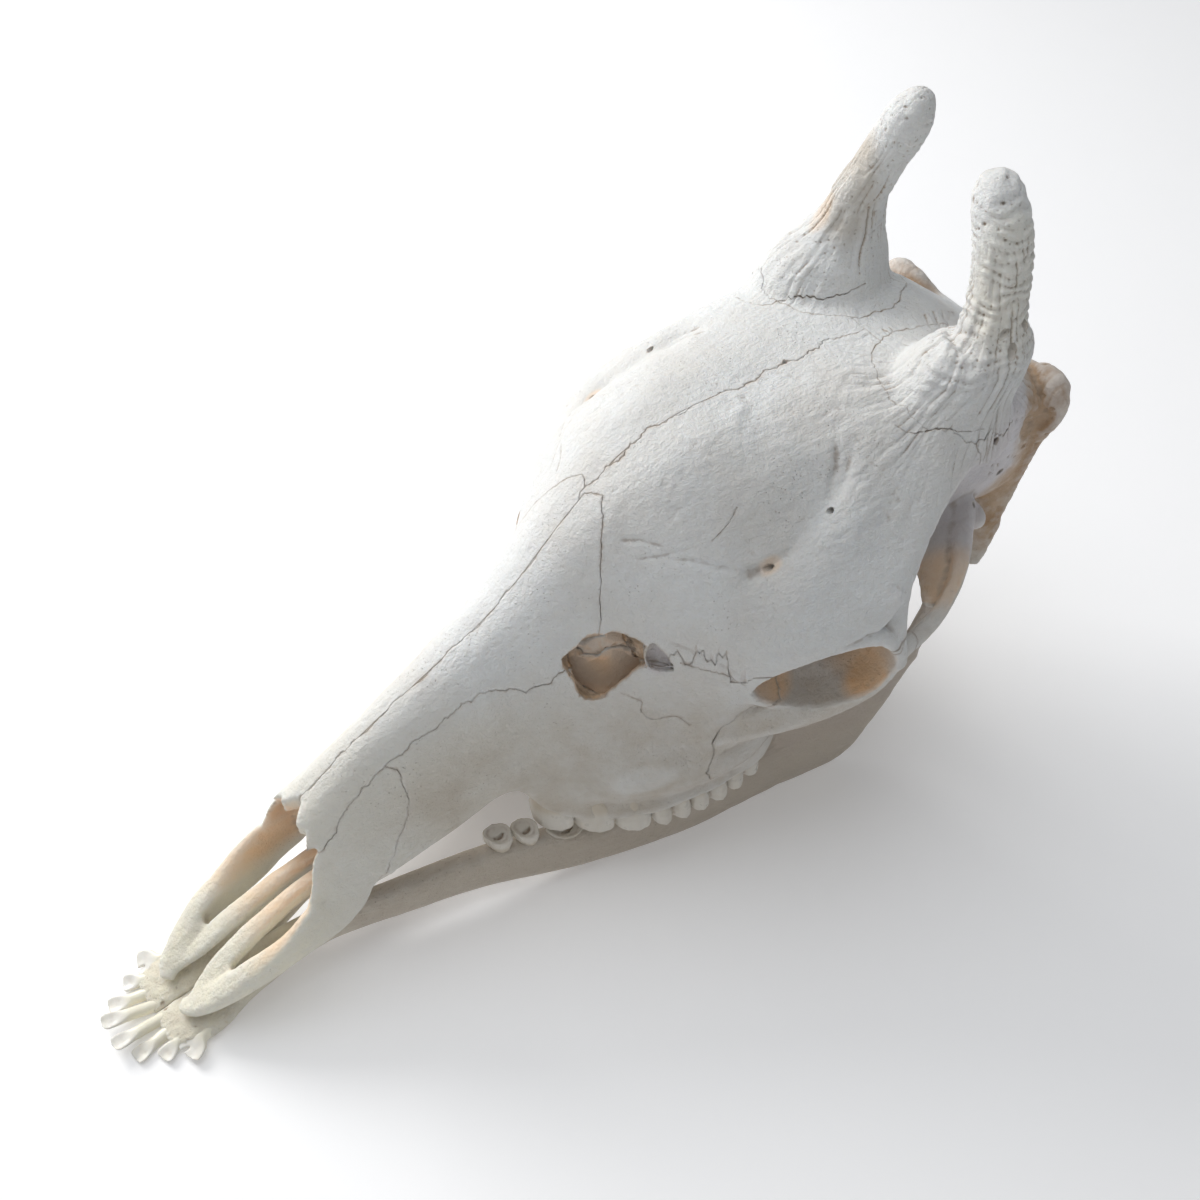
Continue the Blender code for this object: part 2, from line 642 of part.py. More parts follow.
def tooth_lobe(front, back, outer_front, outer_back, width, bone, worn, root, outward):
    """One lobe of a cheek tooth: a ribbed outer wall, a round inner one and a sloping worn end."""
    outline = [(-0.5, 0.38), (0.0, 0.50), (0.5, 0.38), (0.36, -0.30), (0.0, -0.5), (-0.36, -0.30)]
    middle_y = (front + back) / 2
    length = (back - front) * 0.98
    rings = []
    for z, size, slope in ((root, 0.84, 0), ((bone + worn) / 2, 1.0, 0), (worn, 0.92, WEAR_SLOPE)):
        ring = []
        for a, b in outline:
            y = middle_y + a * length * size
            edge = outer_front + (outer_back - outer_front) * (y - front) / (back - front)
            across = outward * b * width * size
            ring.append((edge - width / 2 + across, y, z - slope * across))
        rings.append(ring)
    return from_rings("lobe", rings)


def cheek_teeth(rows, width, sink, outward, side):
    lobes = []
    for front, back, outer_front, outer_back, bone, worn, count in rows:
        step = (back - front) / count
        for k in range(count):
            a, b = front + k * step, front + (k + 1) * step
            xa = outer_front + (outer_back - outer_front) * k / count
            xb = outer_front + (outer_back - outer_front) * (k + 1) / count
            lobe = tooth_lobe(a, b, xa, xb, width, bone, worn, bone + sink, outward)
            lobes.append(for_side(lobe, side))
    return lobes


def front_tooth(tip, root, half_width):
    """An incisor: a round root and a flat, spoon-shaped crown."""
    tip, root = Vector(tip), Vector(root)
    forward = (tip - root).normalized()
    side = forward.cross(Vector((0, 0, 1))).normalized()
    up = side.cross(forward)
    length = (tip - root).length
    rings = []
    for t, wide, thick in ((-0.35, 3.0, 3.0), (0.1, 3.5, 3.2), (0.45, 3.4, 3.1),
                           (0.68, half_width * 0.88, 3.1), (0.88, half_width, 2.2),
                           (1.0, half_width * 0.8, 0.9)):
        centre = root + forward * length * t
        ring = []
        for k in range(6):
            turn = math.pi * k / 3
            ring.append(centre + side * wide * math.cos(turn) + up * thick * math.sin(turn))
        rings.append(ring)
    return from_rings("front_tooth", rings)


def join(bone, pieces):
    """Fuses teeth into their bone with one union."""
    group = bpy.data.collections.new("teeth")
    for piece in pieces:
        group.objects.link(piece)
    union = bone.modifiers.new("Union", "BOOLEAN")
    union.operation = "UNION"
    union.operand_type = "COLLECTION"
    union.collection = group
    union.solver = "MANIFOLD"
    bake(bone)
    discard(*pieces)
    bpy.data.collections.remove(group)
    keep_largest(bone)


def build_jaw():
    jaw = merged("jaw", [
        slab("jaw_body", JAW_BODY, power=0.75), slab("jaw_ramus", JAW_RAMUS, power=0.8),
        bar("coronoid", CORONOID, upright=(0, 1, 0)), bar("condyle_neck", CONDYLE_NECK),
        ellipsoid("condyle", *JAW_CONDYLE)])
    remesh(jaw, JAW_VOXEL)
    soften(jaw, 0.5, 2)
    boolean(jaw, block("middle", (-60, -20, -200), (SUTURE_GAP / 2, 160, 100)))
    thin_out(jaw, JAW_TRIANGLES)
    keep_largest(jaw)
    return jaw


def finish(item, parent, colour, roughness):
    skin = bpy.data.materials.new(item.name)
    skin.use_nodes = True
    shader = skin.node_tree.nodes["Principled BSDF"]
    shader.inputs["Base Color"].default_value = (*colour, 1)
    shader.inputs["Roughness"].default_value = roughness
    shader.inputs["Metallic"].default_value = 0
    item.data.materials.clear()
    item.data.materials.append(skin)
    item.parent = parent
    for owner in list(item.users_collection):
        owner.objects.unlink(item)
    home = bpy.data.collections.get("giraffe_skull") or bpy.data.collections.new("giraffe_skull")
    if home.name not in bpy.context.scene.collection.children:
        bpy.context.scene.collection.children.link(home)
    home.objects.link(item)


def centre_over_origin(rest, bones):
    """Moves the whole skull so that the middle of its bounding box stands over the origin."""
    points = [bone.matrix_world @ vert.co for bone in bones for vert in bone.data.vertices]
    for axis in (0, 1):
        low = min(p[axis] for p in points)
        high = max(p[axis] for p in points)
        rest.location[axis] -= (low + high) / 2
    rest.location.z -= min(p.z for p in points)
    bpy.context.view_layer.update()


def main():
    clear_scene()
    pitch = math.atan2(CHIN_REST[1] - ANGLE_REST[1], ANGLE_REST[0] - CHIN_REST[0])
    turn = Matrix.Rotation(pitch, 4, "X")
    floor = (turn @ Vector((0, *CHIN_REST)) * MM).z + REST_CUT * MM
    rest = bpy.data.objects.new("rest", None)
    bpy.context.scene.collection.objects.link(rest)
    rest.matrix_world = Matrix.Translation((0, 0, -floor)) @ turn
    bpy.context.view_layer.update()

    body = build_cranium()
    bones = {}
    for side, word in ((1, "left"), (-1, "right")):
        bones["ossicone_" + word] = (take(body, foot_cup, side, "ossicone"), BONE)
        bones["nasal_" + word] = (take(body, nasal_region, side, "nasal"), NASAL_BONE)
        bones["premaxilla_" + word] = (take(body, premaxilla_region, side, "premaxilla"), CREAM_BONE)
        bones["zygomatic_" + word] = (take(body, zygomatic_region, side, "zygomatic"), BONE)
        bones["frontal_" + word] = (take(body, frontal_region, side, "frontal"), BONE)
        maxilla = take(body, maxilla_region, side, "maxilla")
        join(maxilla, cheek_teeth(UPPER_TEETH, UPPER_TOOTH_WIDTH, 9, 1, side))
        bones["maxilla_" + word] = (maxilla, BONE)
    keep_largest(body)
    body.name = "braincase"
    bones["braincase"] = (body, BONE)

    left_jaw = build_jaw()
    jaws = {"mandible_left": left_jaw, "mandible_right": mirrored(left_jaw)}
    under = block("floor", (-FAR, -FAR, -FAR), (FAR, 2 * FAR, 0))
    under.matrix_world = rest.matrix_world.inverted()
    for side, word in ((1, "left"), (-1, "right")):
        jaw = jaws["mandible_" + word]
        jaw.name = "mandible_" + word
        teeth = cheek_teeth(LOWER_TEETH, LOWER_TOOTH_WIDTH, -9, -1, side)
        teeth += [for_side(front_tooth(*row), side) for row in FRONT_TEETH]
        join(jaw, teeth)
        bpy.context.view_layer.update()
        boolean(jaw, under, keep_other=True)
        keep_largest(jaw)
        bones[jaw.name] = (jaw, JAW_BONE)
    discard(under)
    for name, (bone, colour) in bones.items():
        bone.name = name
        mend(bone)
        finish(bone, rest, colour, 0.55)
    bpy.context.view_layer.update()
    centre_over_origin(rest, [bone for bone, colour in bones.values()])


main()
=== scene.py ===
# The looks of the giraffe skull: each bone is shaped finely in mesh code in the place of its
# plain solid, parted along toothed sutures, carved with pores, flutes and vessel marks, and
# given a bone or tooth material. Sizes are in millimetres, in the frame of the skull itself:
# +X the animal's left, -Y the snout, +Z up, as in the part's source.
import contextlib
import math
import random

import bmesh
import bpy
import numpy as np
from mathutils import Matrix, Vector
from mathutils.bvhtree import BVHTree
from mathutils.geometry import tessellate_polygon


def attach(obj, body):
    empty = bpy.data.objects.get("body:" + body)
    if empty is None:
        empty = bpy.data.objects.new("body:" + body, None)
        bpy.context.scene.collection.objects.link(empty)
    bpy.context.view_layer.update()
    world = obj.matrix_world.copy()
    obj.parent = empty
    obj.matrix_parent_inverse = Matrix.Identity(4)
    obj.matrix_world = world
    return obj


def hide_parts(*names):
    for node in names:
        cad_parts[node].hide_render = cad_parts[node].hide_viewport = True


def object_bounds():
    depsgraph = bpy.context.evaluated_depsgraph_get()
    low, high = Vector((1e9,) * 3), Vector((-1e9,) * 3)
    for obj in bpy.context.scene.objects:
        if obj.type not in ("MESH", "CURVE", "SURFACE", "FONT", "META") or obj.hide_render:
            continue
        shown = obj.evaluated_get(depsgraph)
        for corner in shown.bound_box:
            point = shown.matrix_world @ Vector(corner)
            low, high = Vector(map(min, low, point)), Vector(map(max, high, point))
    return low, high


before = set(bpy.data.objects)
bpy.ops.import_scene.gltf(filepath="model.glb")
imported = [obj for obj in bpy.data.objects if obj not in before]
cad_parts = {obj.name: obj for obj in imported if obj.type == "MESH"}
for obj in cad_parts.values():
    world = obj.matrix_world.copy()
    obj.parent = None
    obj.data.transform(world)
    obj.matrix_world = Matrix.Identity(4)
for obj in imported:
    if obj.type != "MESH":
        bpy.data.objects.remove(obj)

CAD_BOX = [[float(value) for value in corner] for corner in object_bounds()]
MM = 0.001

# The skull's frame in the world: tipped on to its chin and jaw angles, then centred.
CHIN_REST = (48.0, -38.5)
ANGLE_REST = (430.0, -88.0)
REST_CUT = 1.4
CENTRE_Y = -304.927

VOXEL = 1.35
JAW_VOXEL = 1.2
TOOTH_VOXEL = 0.7
SUTURE_GAP = 0.38
# Two faces meet in a sharp edge where the cosine between their normals is under this.
SHARP = 0.64
FAR = 400
PAST_MIDDLE = 4.0
SIDES = ((1, "left"), (-1, "right"))

# The camera, in the skull's frame: place, its axes, and the picture's focal length and width in
# pixels, with the width of the sensor that stands for it.
VIEW_FROM = Vector((429.86, 81.69, 718.12))
VIEW_FORWARD = Vector((-0.53635, 0.30577, -0.78666))
VIEW_RIGHT = Vector((0.57324, 0.81607, -0.07363))
VIEW_DOWN = Vector((0.61946, -0.49044, -0.61298))
VIEW_LENS = 1499.87
PICTURE = 1200
SENSOR = 36

# Half sections of the cranium, each from the middle of the roof round to the middle of
# the palate or skull base: y, then x and z ten times.
HEAD_SECTIONS = [
    (128, 0, 68, 8, 67, 15, 63, 21, 55, 26, 44, 29, 31, 30, 18, 24, 8, 12, 6, 0, 6),
    (150, 0, 79, 8, 78, 15, 72, 21, 62, 27, 49, 30, 34, 31, 20, 26, 7, 12, 7, 0, 7),
    (180, 0, 94, 8, 92, 15, 85, 22, 73, 28, 57, 32, 40, 33, 24, 28, 11, 13, 13, 0, 13),
    (215, 0, 108, 9, 106, 18, 98, 25, 84, 31, 66, 35, 48, 36, 31, 30, 20, 15, 21, 0, 21),
    (240, 0, 118, 10, 116, 21, 107, 30, 90, 36, 70, 40, 50, 41, 33, 31, 28, 18, 25, 0, 24),
    (252, 0, 123, 11, 121, 22, 111, 31, 95, 38, 73, 43, 46, 47, 9, 33, 6, 19, 15, 0, 18),
    (270, 0, 132, 12, 129, 25, 118, 35, 102, 43, 79, 50, 48, 60, -3, 41, -3, 22, 13, 0, 17),
    (300, 0, 155, 14, 152, 28, 139, 41, 119, 52, 96, 62, 52, 76, -7, 53, -7, 26, 13, 0, 18),
    (325, 0, 173, 17, 171, 35, 157, 52, 137, 67, 110, 74, 58, 83, -8, 56, -8, 28, 13, 0, 18),
    (350, 0, 187, 22, 185, 47, 169, 71, 144, 91, 109, 87, 56, 85, -10, 58, -10, 28, 14, 0, 18),
    (380, 0, 192, 26, 190, 55, 172, 83, 144, 110, 111, 86, 52, 80, -8, 60, -6, 28, 16, 0, 20),
    (410, 0, 189, 28, 187, 58, 173, 87, 147, 117, 113, 72, 70, 58, 32, 45, 20, 24, 25, 0, 28),
    (440, 0, 185, 29, 184, 61, 173, 89, 151, 113, 119, 68, 85, 54, 50, 36, 36, 18, 36, 0, 38),
    (470, 0, 183, 30, 183, 61, 175, 86, 157, 99, 135, 70, 104, 60, 72, 44, 50, 20, 46, 0, 46),
    (500, 0, 178, 29, 178, 57, 173, 79, 161, 87, 142, 69, 112, 64, 82, 48, 56, 22, 50, 0, 50),
    (530, 0, 170, 27, 170, 52, 164, 69, 152, 76, 138, 67, 112, 65, 86, 50, 60, 22, 52, 0, 52),
    (558, 0, 163, 24, 163, 46, 160, 61, 148, 69, 132, 68, 108, 65, 85, 57, 62, 24, 52, 0, 52),
    (582, 0, 143, 22, 142, 42, 138, 55, 130, 62, 117, 63, 100, 61, 82, 53, 66, 24, 56, 0, 56),
    (600, 0, 124, 20, 124, 36, 120, 47, 112, 52, 100, 51, 88, 48, 76, 40, 66, 20, 60, 0, 60)]

# The rim of the left orbit, from its top round over the front and below to the back.
ORBIT_RIM = [(118, 408, 106), (101, 369, 99), (90, 355, 82), (94, 364, 66),
             (107, 389, 58), (119, 417, 62), (124, 427, 80), (122, 422, 98)]

# Bars and crests of the left side: (x, y, z, half width, half height) at each station.
JUGAL = [(66, 318, 33, 4, 7), (77, 338, 38, 5, 11), (88, 357, 45, 5, 13), (101, 378, 51, 5, 13),
         (111, 399, 57, 4.5, 12), (118, 418, 67, 4.5, 11), (119, 432, 77, 4.5, 8)]
ARCH = [(117, 420, 72, 4, 9), (117, 437, 76, 4.5, 7), (113, 462, 77, 4.2, 6),
        (105, 481, 76, 4.2, 6), (94, 498, 76, 5, 6.5), (77, 514, 74, 8, 10),
        (60, 527, 76, 12, 13)]
GLENOID = [(54, 508, 84, 18, 12), (70, 503, 75, 16, 8), (83, 495, 72, 15, 6), (95, 484, 72, 12, 4.5),
           (105, 471, 73, 8, 3.6)]
POSTORBITAL = [(82, 452, 148, 9, 14), (94, 447, 134, 8, 14), (104, 438, 121, 7, 11),
               (113, 431, 104, 6, 8), (119, 428, 90, 5.5, 7), (122, 427, 76, 6, 7)]
NUCHAL = [(-6, 592, 125, 6, 6), (20, 594, 123, 6, 6), (40, 595, 121, 6.5, 7),
          (54, 592, 129, 7.5, 7.5), (64, 590, 129, 7.5, 7.5), (66, 587, 115, 7, 8),
          (61, 582, 100, 7, 8.5), (57, 574, 81, 7, 12), (55, 568, 61, 6, 13),
          (56, 562, 40, 5, 11), (59, 557, 18, 4, 7), (60, 552, 4, 2.5, 4)]
PTERYGOID = [(27, 380, 14, 4, 10), (25, 408, 16, 3.2, 14), (22, 440, 25, 3.2, 15),
             (20, 474, 38, 3.2, 10)]
# The last value here is how far the upright side leans, in degrees.
PREMAXILLA = [(9, 38, -23, 4, 2.5, 0), (15, 45, -20, 7, 4, 0), (21.5, 60, -13, 8, 6, -6),
              (26, 76, -6, 7.5, 8.5, -12), (28, 91, -2.5, 6.5, 11.5, -14),
              (29.5, 105, 1.5, 5.6, 14.5, -10), (30, 120, 8, 4.6, 17.5, 0),
              (29, 131, 13, 3.8, 19, 6), (28, 138, 24, 3.2, 19, 14), (26.5, 147, 35, 2.8, 24, 17),
              (26, 158, 41, 2.8, 25, 18), (25.5, 172, 49, 3, 22, 20), (24, 184, 60, 3, 14, 23)]
PALATINE_PROCESS = [(15, 47, -20, 7.5, 3), (11.5, 60, -13, 8, 3.4), (8.5, 76, -5, 6.5, 4),
                    (7.4, 96, 2, 5.4, 5), (6.4, 120, 8, 4.6, 6), (6, 190, 18, 4, 6)]
# The front edge of the nasals from above: two points each side and a notch between.
NASAL_NOTCH = [(-60, 90), (60, 90), (60, 134), (22, 134), (19, 129.5), (12, 135), (8, 131),
               (0, 141), (-8, 131), (-12, 135), (-19, 129.5), (-22, 134), (-60, 134)]
# The space under the front of the nasals, as two corners of a block.
UNDER_NASALS = ((-60, 60, -30), (60, 139, 57))
# The fissure of the palate beside each palatine process: y, middle x and z, half width and height.
FISSURE = [(70, 17, -6, 2.5, 12), (84, 17.5, 0, 4, 14), (120, 18, 8, 5.5, 14), (152, 17, 12, 5, 12),
           (166, 16, 14, 3, 8)]
# The nasal cavity: y, half width, lowest and highest z.
NOSE = [(90, 26, 14, 60), (128, 24.5, 14, 58), (150, 25, 16, 66), (180, 25, 20, 76), (215, 22, 26, 82),
        (240, 12, 36, 74)]
CHOANA = [(0, 510, 22, 13, 12), (0, 450, 20, 15, 14), (0, 410, 24, 14, 13), (0, 384, 32, 9, 8)]
MAGNUM = [(0, 670, 88, 17, 15), (0, 606, 86, 17, 15), (0, 572, 86, 12, 11)]
CONDYLE = ((21, 604, 66), (17, 18, 20))
BULLA = ((40, 528, 48), (12, 17, 17))
MEATUS = ((66, 532, 70), (12, 8, 8))
HOLLOW = ((71, 572, 117), (8, 12, 17))

# Sections of the left half of the jaw, front to back: y, middle x, middle z, half width, half height.
JAW_BODY = [(24, 12, -32, 12, 3.5), (34, 14, -32, 14, 5), (48, 15, -32, 15, 6.5),
            (70, 12.5, -29, 11.5, 9.5), (100, 11.5, -25.5, 9.5, 11.5), (123, 15, -22, 7.5, 12),
            (160, 23, -24, 7.5, 13.5), (207, 32, -30, 8, 16), (240, 41, -36, 8.5, 19),
            (270, 48, -43, 9.5, 19.5), (326, 58, -52, 10, 22), (370, 62, -55, 9.5, 26),
            (405, 65, -57, 8, 29), (432, 67, -56, 6.5, 31)]
JAW_RAMUS = [(388, 65, -56, 6, 24), (404, 67, -44, 6.5, 44), (420, 70, -29, 6, 59),
             (436, 73, -21, 5.5, 67), (449, 75.5, -21, 5.5, 58), (460, 77.5, -22, 5.5, 37),
             (469, 79, -17, 5.5, 26), (478, 80, -8, 5.2, 17), (487, 81, 0, 5, 11)]
CORONOID = [(75, 443, 36, 4, 14), (78, 450, 60, 3.6, 12), (80, 456, 80, 3.2, 9),
            (81, 461, 94, 2.6, 5)]
CONDYLE_NECK = [(79, 480, -8, 4.5, 12), (79, 490, 5, 4.5, 9), (79, 497, 20, 4.5, 8),
                (78, 502, 35, 5.5, 7.5), (78, 505, 47, 8, 6)]
JAW_CONDYLE = ((78, 506, 53), (11, 7.5, 6))

# Ossicones: (x, y, z, half width, half depth) from their spread foot to the tip.
OSSICONE_LEFT = [(50, 513, 148, 40, 46), (52, 518, 160, 35, 41), (55, 524, 173, 28, 33),
                 (58, 535, 187, 21, 26), (55, 539, 203, 15.5, 17), (50, 545, 222, 14.5, 15),
                 (43, 549, 243, 15, 14.5), (33, 552, 260, 13.5, 12.5), (28, 553, 270, 6, 6)]
OSSICONE_RIGHT = [(-50, 513, 148, 40, 46), (-51, 519, 160, 37, 43), (-52, 526, 173, 31, 39),
                  (-52, 533, 187, 24, 30), (-50, 537, 202, 18, 20), (-47, 540, 220, 14, 15.5),
                  (-39, 546, 243, 12.5, 13.5), (-31, 551, 264, 13, 13), (-27, 554, 276, 11, 10.5),
                  (-25, 555, 285, 5, 5)]
# The cup that parts an ossicone from the roof under it: (z, middle x, middle y, half x, half y).
FOOT_CUP = [(134, 47, 515, 12, 16), (142, 48, 518, 29, 36), (152, 49, 520, 35, 42), (168, 48, 522, 38, 46),
            (200, 45, 536, 42, 46), (250, 44, 552, 43, 40), (300, 44, 556, 43, 40)]

# Cheek teeth, front to back: front y, back y, outer x at each end, bone z, worn z, lobes.
UPPER_TEETH = [(247, 265, 45, 57, 4, -11, 1), (265, 284, 57, 69, 0, -16, 1), (284, 303, 69, 77, -5, -20, 1),
               (303, 325, 77, 83, -8, -22, 2), (325, 349, 83, 85.5, -9, -22, 2),
               (349, 374, 85.5, 82, -9, -21.5, 2)]
LOWER_TEETH = [(217, 232, 41, 45, -14, -2, 1), (232, 246, 45, 50, -17, -5, 1),
               (250, 271, 51, 57, -23, -18, 1), (271, 296, 57, 64, -27, -23, 2),
               (296, 324, 64, 69, -29, -24.5, 2), (324, 362, 69, 72, -30, -25, 3)]
UPPER_TOOTH_WIDTH = 22
LOWER_TOOTH_WIDTH = 13
# How deep a cheek tooth is sunk into its bone, and where its root's colour starts and stops fading:
# below and above the edge of that bone.
TOOTH_SINK = 9
CHEEK_NECK = (-5, 1)
# How steeply the worn surfaces fall towards the cheek.
WEAR_SLOPE = 0.45
# Front teeth of the left half: tip, root, half width of the crown.
FRONT_TEETH = [((7.5, -1, -23.5), (4.5, 26, -32), 4.8), ((17.5, 5, -30), (12.5, 30, -32), 5.0),
               ((26, 17, -31), (18, 36, -32), 5.2), ((31.5, 28, -31), (24, 50, -31), 8)]
# Where the root's colour of a front tooth fades, as shares of the way from root to tip.
FRONT_NECK = (0.42, 0.72)

# The edges of the bones, as part.py has them, and where they are toothed.
NASAL_SIDES = [(32, 90, 40), (24, 130, 52), (19, 150, 62), (16, 168, 70), (16, 186, 76), (19, 210, 84),
               (22, 239, 92), (30, 257, 94), (35, 269, 96), (38, 282, 100), (40, 301, 108), (28, 313, 118),
               (9, 330, 134)]
PREMAXILLA_OUTLINE = [(15, -90), (128, -90), (146, 4), (158, 18), (170, 36), (180, 50), (186, 62), (187, 80),
                      (160, 100), (110, 110), (15, 110)]
ZYGOMATIC_OUTLINE = [(335, 5), (331, 24), (338, 46), (356, 60), (378, 68), (402, 74), (412, 90), (446, 95),
                     (442, 76), (441, 20)]
FRONTAL_SIDES = [(28, 290, 104), (41, 301, 99), (56, 312, 104), (72, 330, 99), (92, 352, 93), (104, 352, 93),
                 (160, 352, 93), (160, 505, 96)]
MAXILLA_OUTLINE = [(60, -90), (392, -90), (392, 200), (60, 200)]

# Broad swells and troughs of the left side, in millimetres: a line, its width and how deep it sinks.
BROAD_FORMS = [
    ([(56, 258, 8), (68, 285, 2), (77, 310, -1), (85, 340, -3), (86, 372, -4)], 8.0, 4.2),
    ([(62, 282, 22), (72, 303, 23), (80, 322, 28)], 8.5, -2.8),
    ([(80, 331, 40), (88, 352, 40), (100, 369, 46), (112, 393, 58)], 5.0, -1.8),
    ([(84, 338, 26), (90, 356, 25), (97, 372, 32)], 5.0, 2.2),
    ([(116, 411, 109), (115, 420, 115), (114, 427, 119), (113, 434, 124)], 6.0, -2.6),
    ([(68, 362, 156), (69, 388, 160), (66, 411, 167), (57, 433, 175)], 12.0, 2.6),
    ([(92, 372, 135), (91, 395, 141), (86, 420, 151), (76, 444, 165)], 14.0, -3.4)]

# What is read off the picture, in its 1200 pixel frame: places across and down.
WINDOW_EDGE = [(562, 660), (575, 647), (590, 634), (603, 635), (617, 632), (635, 639), (645, 646), (643, 656),
               (646, 667), (635, 672), (625, 680), (615, 688), (605, 697), (590, 700), (580, 695), (574, 684),
               (566, 672)]
WINDOW_BACK = [(646, 660), (648, 647), (655, 643), (662, 651), (671, 661), (674, 671), (662, 671), (651, 669)]
# The hollows behind the two holes: place, radii, depth of the middle, edge of the hole.
VACUITIES = [((604, 666), (23, 22, 5.0), 6.8, WINDOW_EDGE), ((660, 657), (10, 10, 2.4), 3.4, WINDOW_BACK)]
# Open sutures and hairlines: places, width, depth, and whether both sides have one.
CRACKS = [
    ([(735, 297), (750, 303), (765, 305), (783, 300), (800, 297), (820, 298), (840, 295), (853, 289),
      (866, 283)], 1.3, 2.2, False),
    ([(680, 663), (705, 670), (722, 674), (735, 680), (746, 686)], 0.9, 2.2, True),
    ([(621, 693), (642, 702), (641, 711), (652, 719), (675, 716), (690, 725)], 0.7, 1.8, True),
    ([(737, 507), (731, 520), (725, 528), (712, 541)], 0.6, 1.6, False),
    ([(895, 425), (908, 433), (925, 431), (945, 428), (960, 432), (984, 429)], 0.9, 2.2, False)]
# Grooves pressed into the bone: places, width, depth.
CHANNELS = [
    ([(836, 438), (838, 465), (834, 490), (831, 508)], 2.6, 1.6),
    ([(852, 452), (846, 478), (836, 502)], 1.7, 1.1),
    ([(738, 588), (765, 572), (796, 545), (820, 515), (836, 482), (850, 445)], 5.5, 1.9),
    ([(742, 580), (768, 570), (800, 549)], 3.0, 1.6),
    ([(770, 566), (745, 572), (715, 566), (690, 560), (655, 558)], 1.9, 0.6),
    ([(668, 548), (640, 540), (618, 541)], 1.3, 0.6),
    ([(700, 545), (665, 555), (632, 560)], 1.2, 0.5),
    ([(664, 640), (692, 652), (718, 664), (742, 676)], 2.5, 0.8)]
# Foramina: place, radius, depth, lean of the hole, and whether both sides have one.
BORES = [
    ((785, 362), 1.2, 6, (0, 0, 0), False),
    ((830, 511), 1.7, 7, (0, 1.0, 0.2), True),
    ((768, 568), 1.7, 8, (0.3, 1.6, 0.3), True),
    ((974, 505), 1.8, 7, (0, 0, 0), True), ((997, 441), 2.2, 7, (0, 0, 0), True),
    ((930, 540), 1.6, 6, (0, 0, 0), True), ((1000, 472), 2.4, 6, (0, 0, 0), True),
    ((1012, 352), 2.4, 5, (0, 0, 1.0), False), ((1026, 326), 2.4, 5, (0, 0, 1.0), False),
    ((1004, 334), 1.7, 4, (0, 0, 1.0), False)]
# Foramina of the left jaw: how far out they lie, then y, z and radius.
JAW_FORAMEN_X = 21
JAW_FORAMINA = ((86, -25, 2.2), (99, -24, 1.3))
# The middles of the left ossicone's foot, from above, and of the left orbit and hollow before it.
FOOT = (50, 518)
EYE = (104, 396, 82)
VACUITY = (40, 301, 96)

# Colours, in linear light.
WHITE_BONE = (0.80, 0.81, 0.80)
WARM_BONE = (0.74, 0.71, 0.66)
GREY_BONE = (0.62, 0.60, 0.62)
# The orange-brown of the inner walls, which in the vacuity is also a painted glow of light shining through
# its thin wall.
TAN_AND_GLOW = (1.00, 0.65, 0.36)
CREST = (0.60, 0.41, 0.24)
STAIN = (0.34, 0.23, 0.14)
BROWN = (0.36, 0.20, 0.09)
CREAM = (0.90, 0.85, 0.68)
# Painted shade: the cool lilac-grey of bone in shade.
SHADE_LILAC = (0.66, 0.60, 0.64)
# Painted shade: the warmer, darker tone of bone in shade.
WARM_SHADE = (0.54, 0.47, 0.38)
# Painted shade: the jaw's bone colours are a darker, warmer copy of the bone's, for the shade under the
# cranium.
SHADED_JAW_WHITE = (0.51, 0.43, 0.37)
SHADED_JAW_WARM = (0.43, 0.34, 0.28)
# Painted shade: the dark laid into hollows and pores.
HOLLOW_SHADE = (0.30, 0.22, 0.16)
ENAMEL = (0.78, 0.76, 0.71)
CHEEK_ENAMEL = (0.64, 0.60, 0.53)
CHEEK_ROOT = (0.56, 0.48, 0.37)
# Painted highlight: the paler tone laid on bumps and ridges.
RIDGE_HIGHLIGHT = (0.88, 0.88, 0.86)
FLOOR_PALE = (0.93, 0.93, 0.94)
FLOOR_DARK = (0.85, 0.85, 0.87)

# Lamps: place and target in metres, size, power and colour; then the light from all round.
LAMPS = [("key", (-1.78, -0.5, 1.14), (0, 0, 0.15), 1.2, 36, (1.0, 0.99, 0.97)),
         ("sky", (-0.5, -0.2, 2.3), (0, 0, 0.1), 2.4, 24, (0.97, 0.98, 1.0)),
         ("fill", (1.3, -1.5, 1.5), (0, 0, 0.1), 1.6, 3, (1.0, 0.97, 0.93))]
AROUND = ((0.90, 0.95, 1.0, 1), 0.23)
FLOOR_REACH = 6


def new_object(name, data):
    item = bpy.data.objects.new(name, data)
    bpy.context.scene.collection.objects.link(item)
    return item


def discard(*items):
    for item in items:
        mesh = item.data
        bpy.data.objects.remove(item, do_unlink=True)
        bpy.data.meshes.remove(mesh)


def bake(item):
    """Applies the modifiers of an object to its mesh."""
    graph = bpy.context.evaluated_depsgraph_get()
    mesh = bpy.data.meshes.new_from_object(item.evaluated_get(graph))
    item.modifiers.clear()
    old = item.data
    item.data = mesh
    bpy.data.meshes.remove(old)


def through(stations, keys, steps):
    """Stations on a smooth curve that runs through the given ones."""
    last = len(stations) - 1
    slopes = []
    for i in range(last + 1):
        a, b = max(i - 1, 0), min(i + 1, last)
        slopes.append([(q - p) / (keys[b] - keys[a]) for p, q in zip(stations[a], stations[b])])
    result = [list(stations[0])]
    for i in range(last):
        span = keys[i + 1] - keys[i]
        for k in range(1, steps + 1):
            t = k / steps
            h0, h1 = 2 * t ** 3 - 3 * t ** 2 + 1, -2 * t ** 3 + 3 * t ** 2
            g0, g1 = t ** 3 - 2 * t ** 2 + t, t ** 3 - t ** 2
            result.append([h0 * p + h1 * q + span * (g0 * u + g1 * v) for p, q, u, v
                           in zip(stations[i], stations[i + 1], slopes[i], slopes[i + 1])])
    return result


